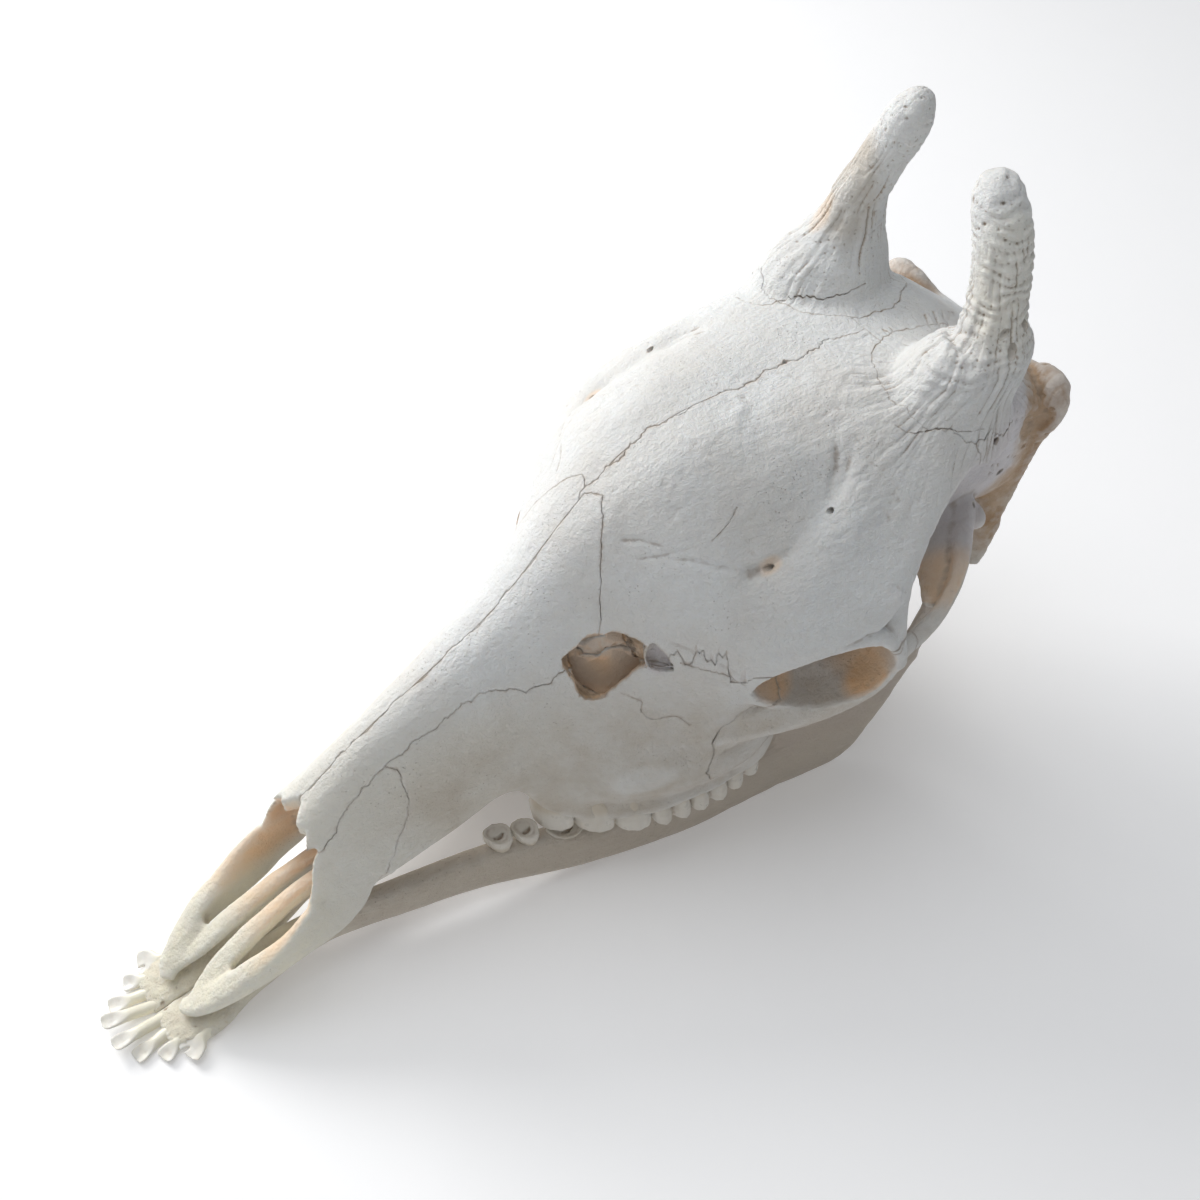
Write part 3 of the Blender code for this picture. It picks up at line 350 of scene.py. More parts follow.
def along(stations, steps):
    """The same for stations that start with a point: spaced by the distance between them."""
    keys = [0.0]
    for a, b in zip(stations, stations[1:]):
        keys.append(keys[-1] + math.dist(a[:3], b[:3]))
    return through(stations, keys, steps)


def along_first(stations, steps):
    """The same for stations that are spaced by their first value."""
    return through(stations, [station[0] for station in stations], steps)


def round_ring(ring, steps):
    """A closed ring of points made smooth by a curve through them."""
    count = len(ring)
    wrapped = [ring[k % count] for k in range(-2, count + 3)]
    smooth = through(wrapped, list(range(len(wrapped))), steps)
    return smooth[2 * steps:(count + 2) * steps]


def from_rings(name, rings):
    """A closed loft through rings of equally many points, given in millimetres."""
    count = len(rings[0])
    points = [Vector(p) * MM for ring in rings for p in ring]
    faces = [tuple(range(count)), tuple(range(len(points) - count, len(points)))]
    for a in range(len(rings) - 1):
        for b in range(count):
            c = (b + 1) % count
            faces.append((a * count + b, a * count + c, (a + 1) * count + c, (a + 1) * count + b))
    return from_faces(name, points, faces)


@contextlib.contextmanager
def editing(mesh):
    """A mesh opened for edits, which are written back to it at the end."""
    work = bmesh.new()
    work.from_mesh(mesh)
    yield work
    work.to_mesh(mesh)
    work.free()


def from_faces(name, points, faces):
    mesh = bpy.data.meshes.new(name)
    mesh.from_pydata(points, [], faces)
    with editing(mesh) as work:
        bmesh.ops.recalc_face_normals(work, faces=work.faces)
        if work.calc_volume(signed=True) < 0:
            bmesh.ops.reverse_faces(work, faces=work.faces)
    return new_object(name, mesh)


def circle(count):
    """Angles spaced evenly round a circle."""
    return [2 * math.pi * k / count for k in range(count)]


def squared(value, power):
    return math.copysign(abs(value) ** power, value)


def bar(name, stations, upright=(0, 0, 1), sides=20, steps=7, carried=False, power=1.0):
    """A loft of ellipses along a path, squarer where the power is under 1; the first half size
    lies across it, the second upright. Where it is carried, the frame follows the path and may
    turn over."""
    fine = along(stations, steps)
    rings = []
    up = Vector((0, 1, 0)) if carried else Vector(upright)
    for i, (x, y, z, across, high, *lean) in enumerate(fine):
        before = Vector(fine[max(i - 1, 0)][:3])
        after = Vector(fine[min(i + 1, len(fine) - 1)][:3])
        forward = (after - before).normalized()
        side = forward.cross(up).normalized()
        if lean:
            side = Matrix.Rotation(-math.radians(lean[0]), 3, forward) @ side
        over = side.cross(forward)
        if carried:
            up = over
        centre = Vector((x, y, z))
        ring = []
        for turn in circle(sides):
            wide = side * across * squared(math.cos(turn), power)
            ring.append(centre + wide + over * high * squared(math.sin(turn), power))
        rings.append(ring)
    return from_rings(name, rings)


def slab(name, stations, sides=28, steps=7, power=1.0):
    """A loft of upright ellipses, squarer where the power is under 1:
    (y, middle x, middle z, half width, half height)."""
    rings = []
    for y, x, z, across, high in along_first(stations, steps):
        ring = []
        for turn in circle(sides):
            wide = across * squared(math.cos(turn), power)
            ring.append((x + wide, y, z + high * squared(math.sin(turn), power)))
        rings.append(ring)
    return from_rings(name, rings)


def ellipsoid(name, centre, radii, turn=None):
    mesh = bpy.data.meshes.new(name)
    size = Matrix.Diagonal((radii[0] * MM, radii[1] * MM, radii[2] * MM, 1))
    place = Matrix.Translation(Vector(centre) * MM)
    if turn is not None:
        place = place @ turn.to_4x4()
    with editing(mesh) as work:
        bmesh.ops.create_uvsphere(work, u_segments=24, v_segments=14, radius=1.0)
        bmesh.ops.transform(work, matrix=place @ size, verts=work.verts)
    return new_object(name, mesh)


def block(name, low, high):
    mesh = bpy.data.meshes.new(name)
    size = (Vector(high) - Vector(low)) * MM
    middle = (Vector(high) + Vector(low)) * MM / 2
    place = Matrix.Translation(middle) @ Matrix.Diagonal((*size, 1))
    with editing(mesh) as work:
        bmesh.ops.create_cube(work, size=1.0)
        bmesh.ops.transform(work, matrix=place, verts=work.verts)
    return new_object(name, mesh)


def mirrored(item):
    """A copy on the animal's other side."""
    mesh = item.data.copy()
    mesh.transform(Matrix.Diagonal((-1, 1, 1, 1)))
    mesh.flip_normals()
    return new_object(item.name + "_other", mesh)


def merged(name, items):
    """Puts closed meshes into one object, still as loose shells."""
    mesh = bpy.data.meshes.new(name)
    with editing(mesh) as work:
        for item in items:
            work.from_mesh(item.data)
    discard(*items)
    return new_object(name, mesh)


def remesh(item, voxel):
    skin = item.modifiers.new("Remesh", "REMESH")
    skin.mode = "VOXEL"
    skin.voxel_size = voxel * MM
    bake(item)


def soften(item, factor, repeats):
    relax = item.modifiers.new("Smooth", "SMOOTH")
    relax.factor = factor
    relax.iterations = repeats
    bake(item)


def boolean(item, other, operation="DIFFERENCE", keep_other=False):
    cut = item.modifiers.new("Boolean", "BOOLEAN")
    cut.operation = operation
    cut.solver = "MANIFOLD"
    cut.object = other
    bake(item)
    if not keep_other:
        discard(other)


def keep_largest(item):
    """Keeps the largest closed surface of an object's mesh."""
    mesh = item.data
    count = len(mesh.vertices)
    ends = edges_of(mesh)
    label = np.arange(count)
    while True:
        lowest = np.minimum(label[ends[:, 0]], label[ends[:, 1]])
        fresh = label.copy()
        np.minimum.at(fresh, ends[:, 0], lowest)
        np.minimum.at(fresh, ends[:, 1], lowest)
        fresh = fresh[fresh]
        if (fresh == label).all():
            break
        label = fresh
    kinds, size = np.unique(label, return_counts=True)
    if len(kinds) < 2:
        return
    spare = np.flatnonzero(label != kinds[size.argmax()])
    with editing(mesh) as work:
        work.verts.ensure_lookup_table()
        bmesh.ops.delete(work, geom=[work.verts[i] for i in spare], context="VERTS")


# Small numbers that look random and are the same in every run, for noise and for jagged edges.

def scatter(cells, seed):
    """A value from -1 to 1 for each whole-numbered cell."""
    mixed = cells[:, 0] * 73856093 ^ cells[:, 1] * 19349663 ^ cells[:, 2] * 83492791 ^ seed * 374761393
    mixed = (mixed ^ mixed >> 13) * 1274126177 & 0x7FFFFFFF
    return ((mixed ^ mixed >> 15) & 0xFFFF) / 32767.5 - 1


def noise(points, size, seed=0):
    """Smooth noise from -1 to 1 with bumps of about the given size, which may differ by axis."""
    scaled = points / np.asarray(size, dtype=float)
    cell = np.floor(scaled).astype(np.int64)
    part = scaled - cell
    part = part * part * (3 - 2 * part)
    total = np.zeros(len(points))
    for corner in range(8):
        step = np.array([corner & 1, corner >> 1 & 1, corner >> 2])
        weight = np.prod(np.where(step, part, 1 - part), axis=1)
        total += weight * scatter(cell + step, seed)
    return total


def layered(points, size, seed=0, octaves=3):
    return sum(noise(points, np.asarray(size) / 2 ** k, seed + k) / 2 ** k for k in range(octaves))


def pitted(points, spacing, seed, share):
    """How near each point is, from 0 to 1, to the nearest of some pits strewn through space."""
    base = np.floor(points / spacing).astype(np.int64)
    depth = np.zeros(len(points))
    for corner in range(27):
        cell = base + np.array([corner % 3 - 1, corner // 3 % 3 - 1, corner // 9 - 1])
        offset = np.stack([scatter(cell, seed + k) for k in range(3)], axis=1) * 0.35 + 0.5
        there = scatter(cell, seed + 7) < share * 2 - 1
        size = 0.22 + 0.1 * scatter(cell, seed + 9)
        away = np.linalg.norm(points / spacing - cell - offset, axis=1) / size
        depth = np.maximum(depth, np.where(there, np.clip(1 - away ** 2, 0, 1), 0))
    return depth


def ramp(values, low, high):
    """Rises smoothly from 0 at low to 1 at high."""
    t = np.clip((values - low) / (high - low), 0, 1)
    return t * t * (3 - 2 * t)


def near(points, centre, radii):
    """1 at the centre of a soft ellipsoid, 0 from its surface outwards."""
    away = np.linalg.norm((points - np.asarray(centre)) / np.asarray(radii), axis=1)
    return 1 - ramp(away, 0.55, 1.0)


def both_sides(points):
    """The points as if all were on the animal's left."""
    return np.column_stack([np.abs(points[:, 0]), points[:, 1], points[:, 2]])


def read(items, field, width=3, kind=np.float64):
    """One field of all of a mesh's vertices, edges, corners or faces, a row for each."""
    flat = np.empty(len(items) * width, dtype=kind)
    items.foreach_get(field, flat)
    return flat.reshape(-1, width)


def points_of(mesh):
    return read(mesh.vertices, "co") / MM


def normals_of(mesh):
    return read(mesh.vertices, "normal")


def edges_of(mesh):
    return read(mesh.edges, "vertices", 2, np.int64)


def put_points(mesh, points):
    mesh.vertices.foreach_set("co", (points * MM).ravel())
    mesh.update()


def push(mesh, points, normals, height):
    """Puts the points back, each moved along its normal by its own height."""
    put_points(mesh, points + normals * height[:, None])


def smoothed(points, ends, repeats):
    """Positions after averaging each with its neighbours along the mesh's edges."""
    count = len(points)
    both = np.concatenate([ends[:, 0], ends[:, 1]])
    other = np.concatenate([ends[:, 1], ends[:, 0]])
    links = np.maximum(np.bincount(both, minlength=count), 1)
    for _ in range(repeats):
        sums = [np.bincount(both, weights=points[other, axis], minlength=count) for axis in range(3)]
        points = np.stack(sums, axis=1) / links[:, None]
    return points


# The parting of the bones.

def jagged(outline, seed, size, step=1.7):
    """A closed outline whose sides wander and zigzag by about the given size; corners stay."""
    draw = random.Random(seed)
    result = []
    for i, corner in enumerate(outline):
        after = outline[(i + 1) % len(outline)]
        span = math.dist(corner[:2], after[:2])
        count = max(1, round(span / step))
        result.append(tuple(corner))
        phase = draw.uniform(0, 6)
        for k in range(1, count):
            t = k / count
            away = 0.55 * (-1) ** k * draw.uniform(0.1, 1) + 0.7 * math.sin(phase + 0.9 * k)
            away += 1.2 * math.sin(2 * phase + 0.31 * k)
            away *= size * min(1, 5 * t, 5 * (1 - t))
            here = [a + (b - a) * t for a, b in zip(corner, after)]
            here[0] += away * (after[1] - corner[1]) / span
            here[1] -= away * (after[0] - corner[0]) / span
            result.append(tuple(here))
    return result


def widened(outline, distance):
    """A closed outline moved outwards, corner by corner; further values are kept as they are."""
    following = outline[1:] + outline[:1]
    area = sum(a[0] * b[1] - b[0] * a[1] for a, b in zip(outline, following))
    outwards = math.copysign(1, area)
    result = []
    for i, corner in enumerate(outline):
        here = Vector(corner[:2])
        arriving = (here - Vector(outline[i - 1][:2])).normalized()
        leaving = (Vector(following[i][:2]) - here).normalized()
        first = Vector((arriving.y, -arriving.x)) * outwards
        second = Vector((leaving.y, -leaving.x)) * outwards
        middle = (first + second).normalized()
        moved = here + middle * distance / max(middle.dot(first), 0.67)
        result.append((moved.x, moved.y, *corner[2:]))
    return result


def walls(count):
    """The side faces between two outlines of equally many points."""
    following = [(a, (a + 1) % count) for a in range(count)]
    return [(a, b, count + b, count + a) for a, b in following]


def column(name, outline, grow=0.0, high=FAR):
    """An upright region with a top-view outline of (x, y, z of its floor)."""
    wide = widened(outline, grow)
    count = len(wide)
    points = [Vector((x, y, z - 2 * grow)) * MM for x, y, z in wide]
    points += [Vector((x, y, high)) * MM for x, y, z in wide]
    floor = tessellate_polygon([[Vector((x, y, 0)) for x, y, z in outline]])
    faces = [tuple(corners) for corners in floor]
    faces += [tuple(corner + count for corner in corners) for corners in floor]
    return from_faces(name, points, faces + walls(count))


def sideways(name, outline, near_x, far_x, grow=0.0):
    """A region with a side-view outline of (y, z), from near to far in x."""
    wide = widened(outline, grow)
    count = len(wide)
    points = [Vector((x, y, z)) * MM for x in (near_x, far_x) for y, z in wide]
    faces = [tuple(range(count)), tuple(range(count, 2 * count))]
    return from_faces(name, points, faces + walls(count))


def for_side(item, side):
    """The item itself on the left, its mirror image on the right."""
    if side > 0:
        return item
    other = mirrored(item)
    discard(item)
    return other


def foot_cup(inner, grow, side):
    draw = random.Random(31 + side)
    count = 110
    scallop = [0.9 * math.sin(0.55 * k + side) + draw.uniform(-0.9, 0.9) for k in range(count)]
    scallop = [grow + more for more in scallop]
    rings = []
    for z, x, y, wide, deep in along_first(FOOT_CUP, 2):
        ring = []
        for turn, more in zip(circle(count), scallop):
            ring.append((x + (wide + more) * math.cos(turn), y + (deep + more) * math.sin(turn), z - grow))
        rings.append(ring)
    return from_rings("foot_cup", rings)


def nasal_region(inner, grow, side):
    ends = [(inner + grow, 325, 134), (inner + grow, 90, 40)]
    return column("nasal", jagged(NASAL_SIDES + ends, 3 + side, 0.5), grow)


def premaxilla_region(inner, grow, side):
    return sideways("premaxilla", jagged(PREMAXILLA_OUTLINE, 13 + side, 0.4), inner, 60, grow)


def zygomatic_region(inner, grow, side):
    return sideways("zygomatic", jagged(ZYGOMATIC_OUTLINE, 23 + side, 0.9), 84 - grow, 160, grow)


def frontal_region(inner, grow, side):
    ends = [(inner + grow, 505, 96), (inner + grow, 400, 98), (inner + grow, 290, 110)]
    return column("frontal", jagged(FRONTAL_SIDES + ends, 43 + side, 1.25, 1.9), grow)


def maxilla_region(inner, grow, side):
    return sideways("maxilla", MAXILLA_OUTLINE, inner, 160, grow)


def take(body, region, side, name):
    """Parts a bone from the body: what lies in the region, with a suture's gap round it."""
    bone = new_object(name, body.data.copy())
    inner = SUTURE_GAP / 2 if side > 0 else -PAST_MIDDLE
    boolean(bone, for_side(region(inner, 0, side), side), "INTERSECT")
    boolean(body, for_side(region(inner - SUTURE_GAP, SUTURE_GAP, side), side))
    keep_largest(bone)
    return bone


# The forms of the cranium.

def round_rim(size, shift, centre):
    """The orbit's rim drawn in towards its centre and moved along the orbit's axis."""
    ring = [[centre[i] + (p[i] - centre[i]) * size + shift[i] for i in range(3)] for p in ORBIT_RIM]
    return round_ring(ring, 6)


def head_loft():
    rings = []
    for row in along_first(HEAD_SECTIONS, 6):
        half = [(row[k], row[k + 1]) for k in range(1, len(row), 2)]
        whole = half + [(-x, z) for x, z in reversed(half[1:-1])]
        rings.append([(x, row[0], z) for x, z in round_ring(whole, 5)])
    head = from_rings("head", rings)
    boolean(head, block("under_nasals", *UNDER_NASALS))
    boolean(head, column("notch", [(x, y, 0) for x, y in NASAL_NOTCH]))
    return head


def orbit_centre():
    return [sum(p[i] for p in ORBIT_RIM) / len(ORBIT_RIM) for i in range(3)]


def left_forms():
    """What is added to the loft of the head on the animal's left side."""
    centre = orbit_centre()
    cup = from_rings("orbit_cup", [
        round_rim(1.06, (2, -1, 0), centre), round_rim(1.12, (-3, 1, 0), centre),
        round_rim(1.08, (-14, 3, 2), centre), round_rim(0.95, (-32, 6, 8), centre),
        round_rim(0.75, (-54, 10, 12), centre)])
    return [cup, bar("jugal", JUGAL), bar("arch", ARCH), bar("glenoid", GLENOID),
            bar("postorbital", POSTORBITAL, upright=(0, 1, 0)), bar("nuchal", NUCHAL, carried=True),
            bar("pterygoid", PTERYGOID), bar("premaxilla", PREMAXILLA, sides=28, power=0.7),
            bar("palatine_process", PALATINE_PROCESS, sides=28, power=0.7),
            ellipsoid("condyle", *CONDYLE), ellipsoid("bulla", *BULLA),
            ellipsoid("meatus", *MEATUS)]


def left_hollows():
    """What is cut from the left side: orbit, vacuity, palatal fissure and the hollow by the nape."""
    centre = orbit_centre()
    eye = from_rings("eye", [
        round_rim(1.06, (16, -9, 2), centre), round_rim(0.92, (0, 0, 0), centre),
        round_rim(0.84, (-12, 3, 2), centre), round_rim(0.74, (-24, 7, 7), centre),
        round_rim(0.50, (-36, 14, 10), centre), round_rim(0.15, (-44, 24, 12), centre)])
    return [eye, slab("fissure", FISSURE), ellipsoid("hollow", *HOLLOW)]


def cranium_body():
    left = left_forms()
    horns = [bar("ossicone", stations, upright=(0, 1, 0), sides=32)
             for stations in (OSSICONE_LEFT, OSSICONE_RIGHT)]
    body = merged("cranium", [head_loft()] + [mirrored(item) for item in left] + left + horns)
    remesh(body, VOXEL)
    nose_sections = [(y, 0, (low + high) / 2, wide, (high - low) / 2) for y, wide, low, high in NOSE]
    boolean(body, slab("nose", nose_sections))
    for hollow in left_hollows():
        boolean(body, mirrored(hollow))
        boolean(body, hollow)
    for passage in (CHOANA, MAGNUM):
        boolean(body, bar("passage", passage))
    keep_largest(body)
    remesh(body, VOXEL)
    soften(body, 0.5, 7)
    return body


# Where the camera sees a feature: from a place in the photograph's 1200 pixel frame to the bone.

def surface_tree(item):
    work = bmesh.new()
    work.from_mesh(item.data)
    tree = BVHTree.FromBMesh(work)
    work.free()
    return tree


def seen(tree, place, mirror=False):
    """The point and normal, in millimetres, of the bone under a place in the picture, or those of
    its mirror image on the other side."""
    across, down = (value - PICTURE / 2 for value in place)
    ray = VIEW_FORWARD * VIEW_LENS + VIEW_RIGHT * across + VIEW_DOWN * down
    point, normal = tree.ray_cast(VIEW_FROM * MM, ray.normalized())[:2]
    point = point / MM
    return on_bone(tree, (-point.x, point.y, point.z)) if mirror else (point, normal)


def on_bone(tree, point):
    """The nearest point of the bone to a point, and the normal there."""
    place, normal = tree.find_nearest(Vector(point) * MM)[:2]
    return place / MM, normal


def traced(tree, places, mirror=False):
    """A line over the bone through places in the picture, or its mirror image on the other side."""
    return [seen(tree, place, mirror)[0] for place in places]


def distance_to(points, line):
    """How far each point is from a line of points, and how far along the line, from 0 to 1."""
    nearest = np.full(len(points), 1e9)
    travelled = np.zeros(len(points))
    parts = len(line) - 1
    for i in range(parts):
        a, b = np.array(line[i]), np.array(line[i + 1])
        span = b - a
        t = np.clip((points - a) @ span / max(span @ span, 1e-9), 0, 1)
        away = np.linalg.norm(points - a - t[:, None] * span, axis=1)
        closer = away < nearest
        nearest = np.where(closer, away, nearest)
        travelled = np.where(closer, (i + t) / parts, travelled)
    return nearest, travelled


def close_to(points, line, reach):
    low = np.min(np.array(line), axis=0) - reach
    high = np.max(np.array(line), axis=0) + reach
    return np.flatnonzero(((points > low) & (points < high)).all(axis=1))


def crack(tree, line, width, depth, seed):
    """A thin jagged wedge along a line over the bone, for cutting an open suture into it."""
    draw = random.Random(seed)
    fine = along([list(p) for p in line], 6)
    count = len(fine)
    rings = []
    for i, here in enumerate(fine):
        place, normal = on_bone(tree, here)
        before, after = Vector(fine[max(i - 1, 0)]), Vector(fine[min(i + 1, count - 1)])
        across = (after - before).cross(normal).normalized()
        ends = min(1, 4 * i / count, 4 * (count - 1 - i) / count)
        place = place + across * draw.uniform(-0.55, 0.55) * ends * (width / 0.9) ** 2
        half = width * (0.3 + 0.7 * ends) * draw.uniform(0.5, 1) / 2
        rings.append([place + normal * 1.2 - across * half, place + normal * 1.2 + across * half,
                      place - normal * depth + across * 0.06, place - normal * depth - across * 0.06])
    return from_rings("crack", rings)


def along_normal(normal):
    """The turn that takes the upright axis on to a normal."""
    return normal.to_track_quat("Z", "Y").to_matrix()


def bore(tree, place, radius, depth, lean=(0, 0, 0), mirror=False):
    """A foramen: a narrow egg sunk into the bone, tipped by a lean."""
    point, normal = seen(tree, place, mirror)
    inwards = Vector((-lean[0] if mirror else lean[0], *lean[1:])) - normal
    return ellipsoid("bore", point, (radius, radius, depth), along_normal(inwards))


# The flutes of the ossicones: how many go round, seed, where they start and end, depth.
FLUTES = ((5, 11, 0, 58, 1.0), (11, 12, 18, 100, 0.8), (20, 13, 40, 110, 0.42))


def relief_of_ossicones(points):
    """Ridges, pits and flutes of the ossicones, and the flutes that spread from their feet."""
    height = np.zeros(len(points))
    for side, stations, ridges, pits, apron in ((1, OSSICONE_LEFT, 0.55, 1.9, 1.0),
                                                (-1, OSSICONE_RIGHT, 0.14, 1.0, 0.62)):
        there = np.flatnonzero((points[:, 0] * side > 4) & (points[:, 2] > 118) & (points[:, 1] > 400))
        own = points[there]
        rows = np.array(stations)
        x = own[:, 0] - np.interp(own[:, 2], rows[:, 2], rows[:, 0])
        y = own[:, 1] - np.interp(own[:, 2], rows[:, 2], rows[:, 1])
        out, turn = np.hypot(x, y), np.arctan2(y, x)
        shaft = ramp(own[:, 2], 176, 196)
        tip = ramp(own[:, 2], 228, 262)
        travelled = out + np.clip(own[:, 2] - 150, 0, None)
        relief = np.zeros(len(own))
        for count, seed, starts, reach, deep in FLUTES:
            around = np.column_stack([np.cos(turn) * count, np.sin(turn) * count, travelled / 19])
            around[:, :2] += 0.35 * noise(own, 12, seed + 5)[:, None]
            groove = np.exp(-(noise(around, 1.0, seed) / 0.26) ** 2)
            fade = ramp(out, starts - 8, starts + 8) * (1 - ramp(out, reach * apron * 0.55, reach * apron))
            fade *= 1 - 0.8 * tip
            relief -= deep * (groove - 0.3) * fade * ramp(noise(own, 17, seed), -0.7, 0.3)
        level = own[:, 2] + 3.0 * noise(own, 10, 41)
        wave = np.sin(2 * math.pi * level / 5.2)
        relief += ridges * wave * shaft * ramp(noise(own, 9, 42), -0.8, 0.3)
        relief += ridges * 1.1 * layered(own, 8, 43, 2) * shaft
        cover = shaft * (0.35 + 0.65 * tip) * (0.55 - 0.45 * wave)
        relief -= pits * pitted(own, 4.2, 44, 0.8) * cover
        relief -= 0.6 * pitted(own, 2.8, 45, 0.6) * shaft
        height[there] += relief
    return height


def relief_of_roof(points, normals):
    """Vessel marks, soft dimples and grain over the rest of the cranium."""
    left = both_sides(points)
    height = 0.26 * layered(points, 17, 1) + 0.13 * noise(points, 4.2, 5)
    forehead = ramp(points[:, 1], 290, 330) * (1 - ramp(points[:, 1], 500, 540))
    forehead *= ramp(normals[:, 2], 0.2, 0.6)
    height += forehead * (0.15 * noise(points, 3.0, 6) + 0.3 * noise(points, 30, 7))
    wander = np.column_stack([noise(points, 11, seed) for seed in (51, 52, 53)]) * 7
    marks = near(left, (46, 378, 168), (46, 46, 60)) + near(left, (74, 424, 150), (30, 46, 40))
    marks += 0.6 * near(left, (60, 470, 175), (46, 50, 40))
    veins = np.exp(-(noise(points + wander, (13, 8, 10), 54) / 0.24) ** 2) - 0.3
    wrinkles = np.exp(-(noise(points + wander * 0.6, (6, 4.5, 5), 57) / 0.3) ** 2) - 0.35
    fibres = np.exp(-(noise(points + wander, (5, 16, 7), 55) / 0.3) ** 2) - 0.35
    marks = np.clip(marks, 0, 1) * ramp(noise(points, 22, 56), -0.6, 0.4)
    height -= marks * (0.26 * veins + 0.20 * fibres) + (0.3 + 0.7 * marks) * forehead * 0.16 * wrinkles
    snout = 1 - ramp(points[:, 1], 230, 300)
    height += snout * 0.16 * noise(points, (2.6, 22, 2.6), 8)
    nape = ramp(left[:, 1], 548, 585) * ramp(left[:, 0], 28, 50) + near(left, (66, 560, 120), (26, 34, 46))
    nape = np.clip(nape, 0, 1)
    height += nape * (0.55 * layered(points, 7, 9) - 1.1 * pitted(points, 6.5, 46, 0.45))
    base = (1 - ramp(points[:, 2], 40, 70)) * ramp(points[:, 1], 470, 520)
    height += base * 0.5 * layered(points, 6, 10)
    return height


def press_line(points, height, line, width, depth):
    """Sinks a rounded channel into the height along a line."""
    there = close_to(points, line, 3 * width)
    away, travelled = distance_to(points[there], line)
    ends = np.minimum(1, 5 * np.minimum(travelled, 1 - travelled) + 0.15)
    height[there] -= depth * ends * np.exp(-(away / width) ** 2)


def ease_feet(points, ends):
    """Blends the spread foot of each ossicone into the roof round it."""
    soft = smoothed(points, ends, 45)
    left = both_sides(points)
    out = np.hypot(left[:, 0] - FOOT[0], left[:, 1] - FOOT[1])
    share = ramp(out, 24, 36) * (1 - ramp(out, 58, 72)) * ramp(left[:, 2], 138, 150)
    return points + (soft - points) * share[:, None]


def refine(body):
    """Halves the mesh's edges where the relief is finest: on the ossicones and round the foramina."""
    points = points_of(body.data)
    left = both_sides(points)
    close = (points[:, 2] > 165) & (points[:, 1] > 480)
    close |= near(left, (52, 515, 158), (62, 66, 60)) > 0
    close |= near(left, (74, 415, 152), (22, 34, 30)) > 0
    with editing(body.data) as work:
        edges = [edge for edge in work.edges if close[edge.verts[0].index] and close[edge.verts[1].index]]
        bmesh.ops.subdivide_edges(work, edges=edges, cuts=1, use_grid_fill=True)
    body.data.update()


def carve(body):
    """Moves the fine mesh in and out to carve what the bone shows."""
    refine(body)
    mesh = body.data
    put_points(mesh, ease_feet(points_of(mesh), edges_of(mesh)))
    points, normals = points_of(mesh), normals_of(mesh)
    tree = surface_tree(body)
    height = relief_of_roof(points, normals)
    high = np.flatnonzero(points[:, 2] > 110)
    height[high] += relief_of_ossicones(points[high])
    for places, width, depth in CHANNELS:
        for mirror in (False, True):
            press_line(points, height, traced(tree, places, mirror), width, depth)
    for line, width, depth in BROAD_FORMS:
        for side in (1, -1):
            press_line(points, height, [(x * side, y, z) for x, y, z in line], width, depth)
    push(mesh, points, normals, height)


def cut_small(body):
    """Open cracks and foramina, cut as real gaps and holes."""
    tree = surface_tree(body)
    both = (False, True)
    cutters = [crack(tree, traced(tree, places, mirror), width, depth, seed + 9 * mirror)
               for seed, (places, width, depth, paired) in enumerate(CRACKS)
               for mirror in both[:1 + paired]]
    cutters += [bore(tree, place, radius, depth, lean, mirror)
                for place, radius, depth, lean, paired in BORES for mirror in both[:1 + paired]]
    boolean(body, merged("cutters", cutters))


def open_vacuity(body):
    """The hollows before the orbit, each under a thin wall, and the ragged holes that open them."""
    tree = surface_tree(body)
    for side, _ in SIDES:
        for place, radii, depth, edge in VACUITIES:
            point, normal = seen(tree, place, side < 0)
            boolean(body, ellipsoid("window", point - normal * depth, radii, along_normal(normal)))
            draw = random.Random(71 + side)
            line = [list(p) for p in traced(tree, edge, side < 0)]
            rings = [[], []]
            for corner in round_ring(line, 3):
                corner = Vector(corner) + Vector([draw.uniform(-0.5, 0.5) for _ in range(3)])
                rings[0].append(corner + normal * 6)
                rings[1].append(corner - normal * (depth - radii[2] * 0.45))
            boolean(body, from_rings("edge", rings))


# Teeth.

# The outline of a lobe from above, as shares of its length and width.
LOBE = [(-0.51, 0.10), (-0.48, 0.24), (-0.40, 0.35), (-0.28, 0.42), (-0.14, 0.45), (-0.04, 0.48),
        (0.04, 0.48), (0.14, 0.45), (0.28, 0.42), (0.40, 0.35), (0.48, 0.24), (0.51, 0.10), (0.45, -0.10),
        (0.35, -0.32), (0.19, -0.46), (0.0, -0.50), (-0.19, -0.46), (-0.35, -0.32), (-0.45, -0.08)]


def lobe_ring(front, back, outer_front, outer_back, width, z, size, outward, slope=0.0):
    middle_y, length = (front + back) / 2, (back - front) * 1.02
    ring = []
    for a, b in LOBE:
        y = middle_y + a * length * size
        edge = outer_front + (outer_back - outer_front) * (y - front) / (back - front)
        across = outward * b * width * size
        ring.append((edge - width / 2 + across, y, z - slope * across))
    return ring


def tooth_lobe(front, back, outer_front, outer_back, width, bone, worn, root, outward):
    """One lobe of a cheek tooth, with a ribbed wall, a round wall and a hollow in its worn face."""
    away = math.copysign(1, worn - bone)
    place = (front, back, outer_front, outer_back, width)
    rings = [lobe_ring(*place, root, 0.50, outward), lobe_ring(*place, bone + 1.5 * away, 0.84, outward),
             lobe_ring(*place, (bone + worn) / 2, 1.0, outward, WEAR_SLOPE * 0.4)]
    for back_off, size in ((1.5, 0.97), (0.0, 0.93), (0.5, 0.82), (1.4, 0.74)):
        rings.append(lobe_ring(*place, worn - back_off * away, size, outward, WEAR_SLOPE))
    return from_rings("lobe", rings)


